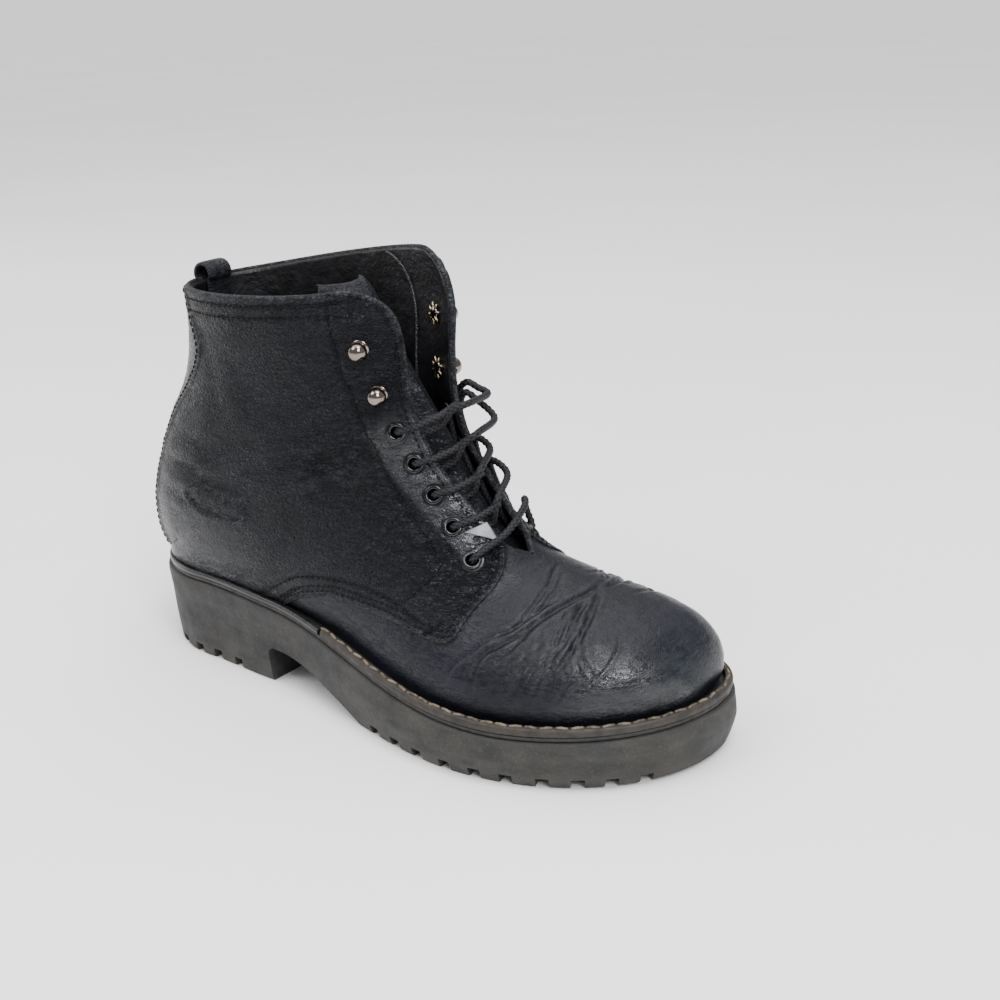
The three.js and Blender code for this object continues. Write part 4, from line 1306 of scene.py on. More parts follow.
    @staticmethod
    def rim(faces: list, base: int, rank: Array) -> list:
        """Faces that join the fine outside to the coarse inside along every free edge.

        Args:
            faces: faces of both sheets.
            base: number of the first inside vertex.
            rank: inside number of each outside vertex, or -1.
        Returns:
            Triangles.
        """
        edges = set()
        for face in faces:
            if face[0] >= base:
                continue
            for k, a in enumerate(face):
                edges.add((face[k - 1], a))
        free = {a: b for a, b in edges if (b, a) not in edges}
        out = []
        for a, b in free.items():
            if rank[a] >= 0 and rank[b] < 0:
                c = free[b]
                if rank[c] < 0:
                    continue
                p, q = rank[a] + base, rank[c] + base
                out += [(b, a, p), (c, b, q), (b, p, q)]
            elif rank[a] >= 0 and rank[b] >= 0:
                p, q = rank[a] + base, rank[b] + base
                out += [(b, a, p), (b, p, q)]
        return out

    def open_holes(self, obj: Piece) -> None:
        """Opens a hole through the wall at each eyelet and stud, and closes its wall."""
        mesh = bmesh.new()
        mesh.from_mesh(obj.data)
        mesh.verts.ensure_lookup_table()
        co = np.array([v.co[:] for v in mesh.verts]) / MM - SHIFT
        first = np.array([f.verts[0].index for f in mesh.faces])
        faces = list(mesh.faces)
        groups = []
        for holes, radius in ((EYELETS, 2.6), (STUDS, 1.7)):
            for hole in holes:
                for side in Side:
                    rel = co - FORM.point(hole.row, hole.share, side)
                    axis = FORM.normal(hole.row, hole.share, side)
                    along = rel @ axis
                    away = np.linalg.norm(rel - along[:, None] * axis, axis=1)
                    near = ((away < radius) & (np.abs(along) < 5))[first]
                    groups.append([faces[k] for k in np.nonzero(near)[0]])
        for doomed in groups:
            ring = {e for f in doomed for e in f.edges}
            bmesh.ops.delete(mesh, geom=doomed, context="FACES_ONLY")
            edges = [e for e in ring if e.is_valid and len(e.link_faces) == 1]
            bmesh.ops.bridge_loops(mesh, edges=edges)
            loose = [e for e in ring if e.is_valid and not e.link_faces]
            bmesh.ops.delete(mesh, geom=loose, context="EDGES")
        mesh.to_mesh(obj.data)
        mesh.free()

    def rows_of_stitches(self) -> list:
        """Every row of stitching as rows, shares and side."""
        rows = []
        for side in Side:
            edge = self.lines["quarter_edge", side][0]
            for inset in (1.7, 3.9):
                rows.append((self.inset_route(edge[3:], side, inset), side))
            for name in ("outer_row", "stay_row"):
                rows.append((self.lines[name, side][0], side))
            back = self.lines["backstay", side][0]
            rows.append((self.inset_route(back[back[:, 0] > 17.25], side, 2.2), side))
            u = np.linspace(9.3, 23.2, 140)
            rows.append((np.stack([u, FORM.throat(u, side) + 2.6 / self.girth(u, side)], axis=1), side))
            for depth in (3.2, 8.2):
                v = np.linspace(0.30 if depth < 5 else 0.36, 0.985, 120)
                rows.append((np.stack([self.row_below(v, side, depth), v], axis=1), side))
        return rows

    @staticmethod
    def girth(u: Array, side: Side) -> Array:
        """Length in mm that one unit of v has near the facing's edge."""
        v = FORM.throat(u, side)
        return np.linalg.norm(FORM.point(u, v + 0.03, side) - FORM.point(u, v, side), axis=1) / 0.03

    @staticmethod
    def row_below(v: Array, side: Side, depth: float) -> Array:
        """Row that lies depth mm under the collar."""
        u = np.full(len(v), FORM.last - 0.3)
        top = FORM.point(np.full(len(v), float(FORM.last)), v, side)
        for _ in range(6):
            gap = np.linalg.norm(FORM.point(u, v, side) - top, axis=1)
            u = FORM.last - (FORM.last - u) * depth / np.maximum(gap, 1e-3)
        return u

    def inset_route(self, route: Array, side: Side, inset: float) -> Array:
        """The route moved sideways on the surface, to the side that lies behind it."""
        p = FORM.point(route[:, 0], route[:, 1], side)
        n = FORM.normal(route[:, 0], route[:, 1], side)
        along = unit(np.gradient(p, axis=0))
        across = np.cross(n, along) * (1 if side is Side.LATERAL else -1)
        du = FORM.point(route[:, 0] + 0.02, route[:, 1], side) - p
        dv = FORM.point(route[:, 0], route[:, 1] - 0.01, side) - p
        moved = []
        for k in range(len(route)):
            basis = np.stack([du[k] / 0.02, dv[k] / -0.01], axis=1)
            step = np.linalg.lstsq(basis, across[k] * inset, rcond=None)[0]
            moved.append(route[k] + step)
        moved = np.array(moved)
        probe = moved[8:9]
        on_panel = inside(probe[:, 0], probe[:, 1], self.outline_for(route))[0]
        return moved if on_panel else 2 * route - moved

    def outline_for(self, route: Array) -> Array:
        """The outline that a panel edge belongs to."""
        return self.quarter_outline if route[0, 0] < 18 else self.strip_outline

    def stitches(self, thread: Material) -> Piece:
        """All threads of the upper in one piece."""
        one = capsule(self.pitch * 0.72, self.thread)
        copies = []
        for route, side in self.rows_of_stitches():
            route = route[(route[:, 1] <= 1) & (route[:, 1] > 0.02) & (route[:, 0] < FORM.last)]
            line, normals = self.surface(route[:, 0], route[:, 1], side)
            index, _ = even(line, self.pitch)
            spots, out = sample(line, index), unit(sample(normals, index))
            along = unit(np.gradient(spots, axis=0))
            for p, n, t in zip(spots, out, along):
                copies.append(placed(one, p + n * 0.12, t, n))
        copies += self.bar_tack(one)
        return dress(joined("upper_stitches", copies), thread, "lace_cord")

    def bar_tack(self, one: tuple) -> list:
        """A short dense bar of thread that holds each tab's corner."""
        copies = []
        for side in Side:
            for k in range(9):
                u, v = np.array([8.22 + 0.02 * k]), np.array([0.545 + 0.0115 * k])
                line, normals = self.surface(u, v, side)
                along = FORM.point(u - 0.3, v, side) - FORM.point(u + 0.3, v, side)
                copies.append(placed(one, line[0] + normals[0] * 0.35, along[0], normals[0]))
        return copies

    def patch(self, finish: Material) -> None:
        """A small plain three-cornered patch of pale leather by the throat's foot; its pale colour is partly a
        painted highlight, a glossy reflection laid in as colour.
        """
        corners = np.array(self.patch_corners)
        count = 14
        u, v, index = [], [], {}
        for i in range(count + 1):
            for j in range(count + 1 - i):
                index[i, j] = len(u)
                a, b = i / count, j / count
                u.append(corners[0, 0] * (1 - a - b) + corners[1, 0] * a + corners[2, 0] * b)
                v.append(corners[0, 1] * (1 - a - b) + corners[1, 1] * a + corners[2, 1] * b)
        p, _ = self.surface(np.array(u), np.array(v), Side.LATERAL, 0.45)
        faces = []
        for i in range(count):
            for j in range(count - i):
                faces.append((index[i, j], index[i + 1, j], index[i, j + 1]))
                if j < count - i - 1:
                    faces.append((index[i + 1, j], index[i + 1, j + 1], index[i, j + 1]))
        obj = mesh_object("throat_patch_painted_highlight", p, faces)
        activate(obj)
        modifier = obj.modifiers.new("wall", "SOLIDIFY")
        modifier.thickness = 0.6 * MM
        modifier.offset = 0
        bpy.ops.object.modifier_apply(modifier="wall")
        face_out(obj)
        dress(obj, finish, "upper_leather")

    def edges(self, edge_finish: Material) -> None:
        """Cut edges of the quarters, the facings and the collar as rounded beads."""
        for side in Side:
            route = self.lines["quarter_edge", side][0]
            line, normals = self.surface(route[:, 0], route[:, 1], side)
            bead = tube(f"quarter_edge_{side.value}", line + normals * 0.05, 0.5, 8, first=normals[0])
            plain_looks(bead, smooth=0.3, wear=0.7)
            dress(bead, edge_finish, "upper_leather")
            u = np.concatenate([np.linspace(8.15, 22.5, 150), np.linspace(22.5, 24, 60)[1:]])
            v = FORM.throat(u, side)
            v_top = np.linspace(v[-1], 1.0, 150)[1:]
            rows = np.concatenate([u, np.full(len(v_top), 24.0)])
            shares = np.concatenate([v, v_top])
            inner = np.linspace(14.5, 23.9, 90)
            share = FORM.throat(inner, side) + 25 / self.girth(inner, side)
            flat, out = FORM.point(inner, share, side), FORM.normal(inner, share, side)
            path = flat - out * (FORM.wall + 0.35)
            seam = tube(f"inner_facing_edge_{side.value}", path, 0.55, 8, first=out[0])
            plain_looks(seam, smooth=0.6, wear=0.55, shine=1.0)
            dress(seam, edge_finish, "upper_leather")
            p, n = self.surface(rows, shares, side)
            middle = (p + FORM.point(rows, shares, side) - n * FORM.wall) / 2
            bead = tube(f"top_edge_{side.value}", middle, 1.2, 10, first=n[0])
            plain_looks(bead, smooth=0.2, wear=0.8)
            dress(bead, edge_finish, "upper_leather")

    def build(self, leather: Material, thread: Material,
              lining: Material) -> None:
        """Makes and dresses all of it."""
        shell = self.shell(leather)
        outer = int(shell["outer_faces"])
        shell.data.materials.append(lining)
        kinds = np.zeros(len(shell.data.polygons), np.int32)
        kinds[outer:] = 1
        shell.data.polygons.foreach_set("material_index", kinds)
        self.open_holes(shell)
        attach(shell, "root")
        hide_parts("upper")
        LOG.info("upper: %d faces", len(shell.data.polygons))
        self.edges(leather)
        self.stitches(thread)
        # Pale leather that partly paints a glossy highlight on the flap.
        pale = Plain("pale_leather_painted_highlight", (0.13, 0.135, 0.15), (0.30, 0.31, 0.33), scale=160, rough=(0.4, 0.6))
        self.patch(pale.build())


UPPER = Upper()


# --- tongue, loop
@dataclass
class Tongue:
    """A curved flap under the facings, its top fallen back into the shaft."""

    base_row: float = 6.6
    top_row: float = 22.4
    wall: float = 2.4
    lace_room: float = 4.4
    lean: float = 38
    lean_row: float = 14
    rows: int = 120
    columns: int = 48

    def sheet(self) -> Array:
        """Points of its outside, rows from the base to the top."""
        t = np.linspace(0, 1, self.rows)[:, None] + np.zeros((1, self.columns))
        across = np.linspace(-1, 1, self.columns)[None] + np.zeros((self.rows, 1))
        u = self.base_row + (self.top_row - self.base_row) * t
        half = 15 + 9 * ease(t * 2.2) - 5 * ease((t - 0.93) / 0.07) * np.abs(across) ** 3
        depth = FORM.wall + 0.9 + (self.lace_room - 0.9) * ease((u - FORM.throat_row + 0.8) / 1.8)
        out = np.zeros((*u.shape, 3))
        for side in Side:
            v = FORM.across(u, half * np.abs(across), side)
            p = FORM.point(u, v, side) - FORM.normal(u, v, side) * depth[..., None]
            chosen = across * side.sign > 0
            out[chosen] = p[chosen]
        lean = np.maximum(0, u - self.lean_row) / (self.top_row - self.lean_row)
        out[..., 0] -= self.lean * lean ** 1.6
        out[..., 2] += 9 * ease((t - 0.76) / 0.24) * (0.8 - 0.35 * across)
        return out

    def build(self, leather: Material) -> None:
        """Makes it as a sheet with a wall and rounded edges."""
        points = self.sheet()
        flat = points.reshape(-1, 3)
        ids = np.arange(len(flat)).reshape(points.shape[:2])
        quads = sheet_faces(ids)
        normals = Upper.grid_normals(flat, quads)
        if normals[:, 2].mean() < 0:
            normals, quads = -normals, quads[:, ::-1]
        row, column = np.arange(self.rows), np.arange(self.columns)
        rim = np.minimum.outer(np.minimum(row, row[::-1]), np.minimum(column, column[::-1]))
        thin = (0.45 + 0.55 * np.sqrt(clamp01(rim / 2.0))).reshape(-1)
        wrinkle = 0.35 * bumps(flat * [1, 0.5, 1], 7, 9.1) + 0.18 * bumps(flat, 3.0, 2.1)
        middle = flat - normals * self.wall / 2
        outside = middle + normals * (self.wall / 2 * thin + wrinkle * 0.8)[:, None]
        under = middle - normals * (self.wall / 2 * thin)[:, None]
        base = len(flat)
        faces = quads.tolist() + (quads[:, ::-1] + base).tolist()
        ring = np.concatenate([ids[0], ids[1:, -1], ids[-1, -2::-1], ids[-2:0:-1, 0]])
        nxt = np.roll(ring, -1)
        faces += [[a, b, b + base, a + base] for a, b in zip(ring, nxt)]
        obj = mesh_object("tongue_leather", np.vstack([outside, under]), faces)
        face_out(obj)
        plain_looks(obj, smooth=0.45, wear=0.12)
        dress(obj, leather, "tongue_leather", "tongue")


@dataclass
class PullLoop:
    """A folded leather tab over the back seam."""

    width: float = 13
    wall: float = 1.8
    rise: float = 7.5
    leg: float = 12

    def build(self, leather: Material) -> None:
        """Sweeps a rounded strip over the collar's back."""
        seam_x, seam_z = FORM.table["end_x"][-1], FORM.table["end_z"][-1]
        back, front = seam_x - 0.3 - self.wall / 2, seam_x + FORM.wall + 2.1 + self.wall / 2
        middle, top = (back + front) / 2, seam_z + self.rise - self.wall / 2
        radius = (front - back) / 2 + 1.2
        turn = np.linspace(-0.25, np.pi + 0.25, 22)
        arc = np.stack([middle - radius * np.cos(turn), top - radius + radius * np.sin(turn)], axis=1)
        legs = np.linspace(seam_z - self.leg, seam_z - 0.5, 10)
        down, up = (np.full(10, x) for x in (back, front))
        path = np.vstack([np.stack([down, legs], 1), arc, np.stack([up, legs[::-1]], 1)])
        path = catmull(path, 3)
        tangent = unit(np.gradient(path, axis=0))
        out = np.stack([-tangent[:, 1], tangent[:, 0]], axis=1)
        angle = np.linspace(0, 2 * np.pi, 36, endpoint=False)
        c, s = np.cos(angle), np.sin(angle)
        across = np.sign(c) * np.abs(c) ** 0.35 * self.width / 2
        thick = np.sign(s) * np.abs(s) ** 0.6 * self.wall / 2
        rings = np.zeros((len(path), 36, 3))
        rings[..., 0] = path[:, :1] + out[:, :1] * thick[None]
        rings[..., 1] = across[None]
        rings[..., 2] = path[:, 1:] + out[:, 1:] * thick[None]
        obj = loft("pull_loop_leather", rings)
        plain_looks(obj, smooth=0.5, wear=0.35)
        dress(obj, leather, "upper_leather", "pull_loop")


# --- sole unit
@dataclass
class Outsole:
    """Rubber unit with a heel block, an arch and a lugged tread."""

    steps: int = 110
    lug_height: float = 4.6
    lug_gap: float = 5.4
    lug_pitch: float = 13.6
    lug_depth: float = 15
    breast: float = 84
    arch_height: float = 17
    arch_end: float = 143
    side_taper: float = 3
    waist_share: float = 0.55   # share of the height at which the side turns in most

    def body(self) -> Piece:
        """The block from the tread to its upper edge."""
        def inset(x: Array, share: float) -> Array:
            """How far the side lies inwards at a share of the height."""
            mid = 1.2 - 2 * ease((x - 60) / 80)
            if share > self.waist_share:
                return mid * (1 - ease((share - self.waist_share) / (1 - self.waist_share)))
            k = share / self.waist_share
            bottom = 0.7 if share == 0 else 0.0
            return self.side_taper * (1 - k) ** 1.3 + mid * (1 - (1 - k) ** 1.3) + bottom

        rings = []
        for share in (0, 0.03, 0.12, 0.25, 0.4, 0.55, 0.7, 0.82):
            loop = SOLE.loop(self.steps, lambda x, s=share: inset(x, s))
            rings.append(np.column_stack([loop, SOLE.top(loop[:, 0]) * share]))
        for drop, inwards in ((2.6, 0.0), (1.0, 0.0), (0.35, 0.2), (0, 0.7)):
            loop = SOLE.loop(self.steps, lambda x, e=inwards: e)
            rings.append(np.column_stack([loop, SOLE.top(loop[:, 0]) - drop]))
        return slab("outsole_rubber", np.array(rings))

    def cutters(self) -> list:
        """Solids to take away: arch, toe spring, notches and channels."""
        solids = []
        breast, top = self.breast, self.arch_height
        arch = [(breast, -3), (breast, top - 2.5), (breast + 2.5, top)]
        for k in range(1, 15):
            t = k / 14
            arch.append((breast + 6 + (self.arch_end - breast - 6) * t, top * (1 - t ** 1.9)))
        arch.append((self.arch_end + 0.01, -3))
        spring = [(SOLE.spring_start, -3), (SOLE.spring_start, 0), (SOLE.spring_start + 30, 0.4),
                  (SOLE.length - 18, 1.2), (SOLE.length + 5, 2.2), (SOLE.length + 5, -3)]
        for name, outline in (("arch", arch), ("spring", spring)):
            rings = np.array([[(x, y, z) for x, z in outline] for y in (-100, 100)], float)
            solids.append(loft(f"cut_{name}", rings))
        for side in Side:
            for start, end in ((152, 268), (22, 66)):
                solids += self.notches(side, start, end)
        for k, x in enumerate(np.arange(self.arch_end + 16, SOLE.length - 28, 20)):
            size = (4.5, 68, 2 * self.lug_height - 2)
            solids.append(self.block(f"cut_channel_{k}", (x + size[0] / 2, 0, 0), size, 0))
        return solids

    def notches(self, side: Side, start: float, end: float) -> list:
        """Boxes at an even pitch along the edge."""
        line = SOLE.side_line(side, 200, lambda x: 0)
        travelled, due, boxes = 0.0, 0.0, []
        for k in range(1, len(line)):
            if not start <= line[k, 0] <= end:
                continue
            along = line[k] - line[k - 1]
            travelled += float(np.linalg.norm(along))
            if travelled < due:
                continue
            due += self.lug_pitch
            size = (self.lug_gap, 2 * self.lug_depth, 2 * self.lug_height)
            turn = math.atan2(along[1], along[0])
            boxes.append(self.block(f"cut_notch_{side.value}_{k}", (*line[k], 0), size, turn))
        return boxes

    @staticmethod
    def block(name: str, centre: tuple, size: tuple, turn: float) -> Piece:
        """A box that narrows upwards, with softened edges."""
        clear_selection()
        place = to_scene(np.array(centre))
        bpy.ops.mesh.primitive_cube_add(size=1, location=place.tolist(), rotation=(0, 0, turn))
        obj = bpy.context.object
        obj.name = name
        obj.scale = [s * MM for s in size]
        bpy.ops.object.transform_apply(location=True, rotation=True, scale=True)
        high = [v for v in obj.data.vertices if v.co.z > place[2]]
        mid = sum((v.co.xy for v in high), Vector((0, 0))) / len(high)
        for v in high:
            v.co.xy = mid + (v.co.xy - mid) * 0.93
        return obj

    def channel(self) -> Piece:
        """A channel that follows the forepart's edge."""
        parts = []
        for inset, low, high in ((14, -1, self.lug_height - 1), (18, -2, self.lug_height)):
            loop = SOLE.loop(60, lambda x, e=inset: e)
            rings = np.array([np.column_stack([loop, np.full(len(loop), z)]) for z in (low, high)])
            parts.append(loft(f"cut_ring_{inset}", rings))
        cut(parts[0], parts[1:])
        start, end = self.arch_end + 8, 269
        keep = self.block("cut_keep", ((start + end) / 2, 0, 0), (end - start, 180, 40), 0)
        cut(parts[0], [keep], "INTERSECT")
        return parts[0]

    def build(self, rubber: Material) -> None:
        """Cuts the tread out of the block."""
        obj = self.body()
        cut(obj, self.cutters() + [self.channel()])
        sharp_over(obj, 38)
        dress(obj, rubber, "sole_rubber", "outsole")


def cut(obj: Piece, others: Sequence[Piece], kind: str = "DIFFERENCE") -> None:
    """Cuts obj with others, one after another, and removes them."""
    for other in others:
        activate(obj)
        modifier = obj.modifiers.new("cut", "BOOLEAN")
        modifier.operation = kind
        modifier.solver = "EXACT"
        modifier.object = other
        bpy.ops.object.modifier_apply(modifier="cut")
        bpy.data.objects.remove(other)


@dataclass
class SoleLayers:
    """Midsole, welt with its stitches, heel rand and insole."""

    welt: float = 2.8
    welt_start: float = 118
    edge: float = 0.9
    tuck: float = 0.46
    stitch: float = 5.7
    steps: int = 200

    def strip(self, name: str, start: float, height: float, forward: bool) -> Piece:
        """A strip with a rounded outer edge, round the toe or round the heel.

        Args:
            name: the piece's name.
            start: x at which its two ends lie.
            height: its thickness.
            forward: whether it goes round the toe.
        Returns:
            The new object.
        """
        profile = ((0.0, 0.0), (0.0, 0.25), (0.0, 0.6), (0.25, 0.85), (0.8, 1.0), (1.0, 1.0), (1.0, 0.0))
        rings = []
        for share, level in profile:
            inset = (lambda x, s=share: self.edge + s) if share < 1 else self.inner_edge
            loop = SOLE.loop(self.steps, inset)
            rings.append(np.column_stack([loop, SOLE.welt_floor(loop[:, 0]) + level * height]))
        rings = np.array(rings).transpose(1, 0, 2)
        x = SOLE.loop(self.steps, lambda x: self.edge)[:, 0]
        if forward:
            rings = rings[x >= start]
        else:
            order = np.roll(np.arange(len(x)), int(np.sum(x[len(x) // 2:] < start)))
            rings = rings[order][x[order] < start]
        obj = loft(name, rings)
        sharp_over(obj, 50)
        return obj

    def inner_edge(self, x: Array) -> Array:
        """How far inwards a strip reaches under the upper."""
        return SOLE.ledge(x) * (1 - self.tuck) - 0.3

    def plate(self, name: str, inset: Callable, levels: Sequence[tuple]) -> Piece:
        """A plate of the outline's shape; levels are extra inset and height over the sole."""
        rings = []
        for extra, height in levels:
            loop = SOLE.loop(110, lambda x, e=extra: inset(x) + e)
            rings.append(np.column_stack([loop, SOLE.top(loop[:, 0]) + height]))
        obj = slab(name, np.array(rings))
        sharp_over(obj, 40)
        return obj

    def welt_stitches(self, thread: Material) -> None:
        """Thick threads along the welt's top."""
        loop = SOLE.loop(2 * self.steps, lambda x: self.edge + 1.9)
        loop = loop[loop[:, 0] > self.welt_start + 3]
        line = np.column_stack([loop, SOLE.welt_floor(loop[:, 0]) + self.welt])
        index, _ = even(line, self.stitch)
        spots = sample(line, index)
        along = unit(np.gradient(spots, axis=0))
        one = capsule(self.stitch * 0.84, 1.3)
        out = np.array([0, 0, 1.0])
        copies = []
        for k, (p, t) in enumerate(zip(spots, along)):
            sway = np.cross(out, t) * 0.16 * (-1) ** k
            copies.append(placed(one, p + out * 0.12, t + sway, out))
        dress(joined("welt_stitches", copies), thread, "welt_leather")

    def build(self, finishes: dict) -> None:
        """Makes and dresses every layer."""
        floor, meet = SOLE.midsole, SOLE.meet
        midsole = self.plate("midsole_layer", lambda x: 1.4,
                             ((0.4, meet), (0, meet + 0.4), (0, meet + floor - 0.4), (0.4, meet + floor)))
        dress(midsole, finishes["midsole"], "midsole_rubber", "midsole")
        insole = self.plate("insole_cover", lambda x: SOLE.ledge(x) + FORM.wall + 0.9,
                            ((0, 2.6), (0, 4.6), (0.6, 5.2)))
        dress(insole, finishes["insole"], "insole_cloth", "insole")
        welt = self.strip("welt_strip", self.welt_start + meet, self.welt, True)
        dress(welt, finishes["welt"], "welt_leather", "welt")
        rand = self.strip("rand_strip", self.welt_start, self.welt * 0.7, False)
        dress(rand, finishes["rand"], "rand_leather", "heel_rand")
        self.welt_stitches(finishes["welt_thread"])


# --- metal and laces
@dataclass
class Fittings:
    """Eyelets with a ring outside and in, and ball studs with prongs inside."""

    sides: int = 36
    prongs: int = 8

    def eyelet_profile(self) -> list:
        """Radius and height over the leather, closed on itself."""
        under = -FORM.wall - 0.9
        turn = np.linspace(0, math.pi, 10)
        ring = [(2.35 + 0.85 * math.cos(a) + 0.65, 0.55 + 0.75 * math.sin(a)) for a in turn]
        rim = [(4.55, 0.2), (4.6, 0.5)] + ring + [(2.0, 0.35), (1.95, 0.0)]
        washer = [(1.95, -0.3), (2.3, -0.75), (3.5, -0.75), (3.9, -0.4), (3.9, 0), (2.3, 0)]
        return [(r, under + h) for r, h in washer] + [(2.3, 0.2)] + rim + [(1.95, under - 0.3)]

    @staticmethod
    def stud_profile() -> list:
        """Radius and height of a ball on a short neck."""
        under = -FORM.wall - 0.9
        ball = [(3.75 * math.cos(a), 3.9 + 3.6 * math.sin(a)) for a in np.linspace(-0.95, math.pi / 2, 14)]
        washer = [(r, under + h) for r, h in ((0, -0.6), (2.6, -0.6), (2.9, -0.3), (2.9, 0), (1.5, 0))]
        return washer + [(1.5, 0.3), (3.5, 0.3), (3.7, 0.6), (3.4, 0.95), (2.0, 1.1)] + ball

    @staticmethod
    def axes(hole: Hole, side: Side) -> tuple[Array, Array, Array]:
        """A hole's middle, the direction out of it and one across it."""
        axis = FORM.normal(hole.row, hole.share, side)
        return FORM.point(hole.row, hole.share, side), axis, np.cross(axis, [0.3, 0.8, 0.2])

    def place(self, name: str, shape: tuple, hole: Hole, side: Side, lift: float) -> Piece:
        """Stands a turned shape in its hole."""
        base, axis, along = self.axes(hole, side)
        points, faces = placed(shape, base + axis * lift, along, axis)
        obj = mesh_object(name, points, faces)
        sharp_over(obj, 50)
        return obj

    def build(self, black: Material, ball: Material, brass: Material) -> None:
        """Makes and dresses all of them."""
        eyelet = turned(self.eyelet_profile(), self.sides)
        stud = turned(self.stud_profile(), self.sides)
        points, faces = turned([(0, 0), (0.9, 0.1), (0.55, 0.5), (0, 0.75)], 8)
        prong = points * [2.3, 0.75, 1.0], faces
        for side in Side:
            for k, hole in enumerate(EYELETS, 1):
                obj = self.place(f"ring_{side.value}_{k}", eyelet, hole, side, 0.35)
                dress(obj, black, "eyelet_metal", f"eyelet_{side.value}_{k}")
            prongs = []
            for k, hole in enumerate(STUDS, 1):
                obj = self.place(f"ball_{side.value}_{k}", stud, hole, side, 0.0)
                dress(obj, ball, "stud_metal", f"stud_{side.value}_{k}")
                spot, axis, x = self.axes(hole, side)
                x = unit(x)
                y = np.cross(axis, x)
                for a in 2 * math.pi * np.arange(self.prongs) / self.prongs:
                    arm = math.cos(a) * x + math.sin(a) * y
                    prongs.append(placed(prong, spot - axis * (FORM.wall + 1.0) + arm * 3.1, arm, -axis))
            dress(joined(f"stud_prongs_{side.value}", prongs), brass, "stud_metal")


@dataclass(frozen=True)
class Arch:
    """A loose loop: rows up to its highest and to its outmost place, and mm that each stands off."""

    peak: float
    peak_out: float
    rise: float
    out: float


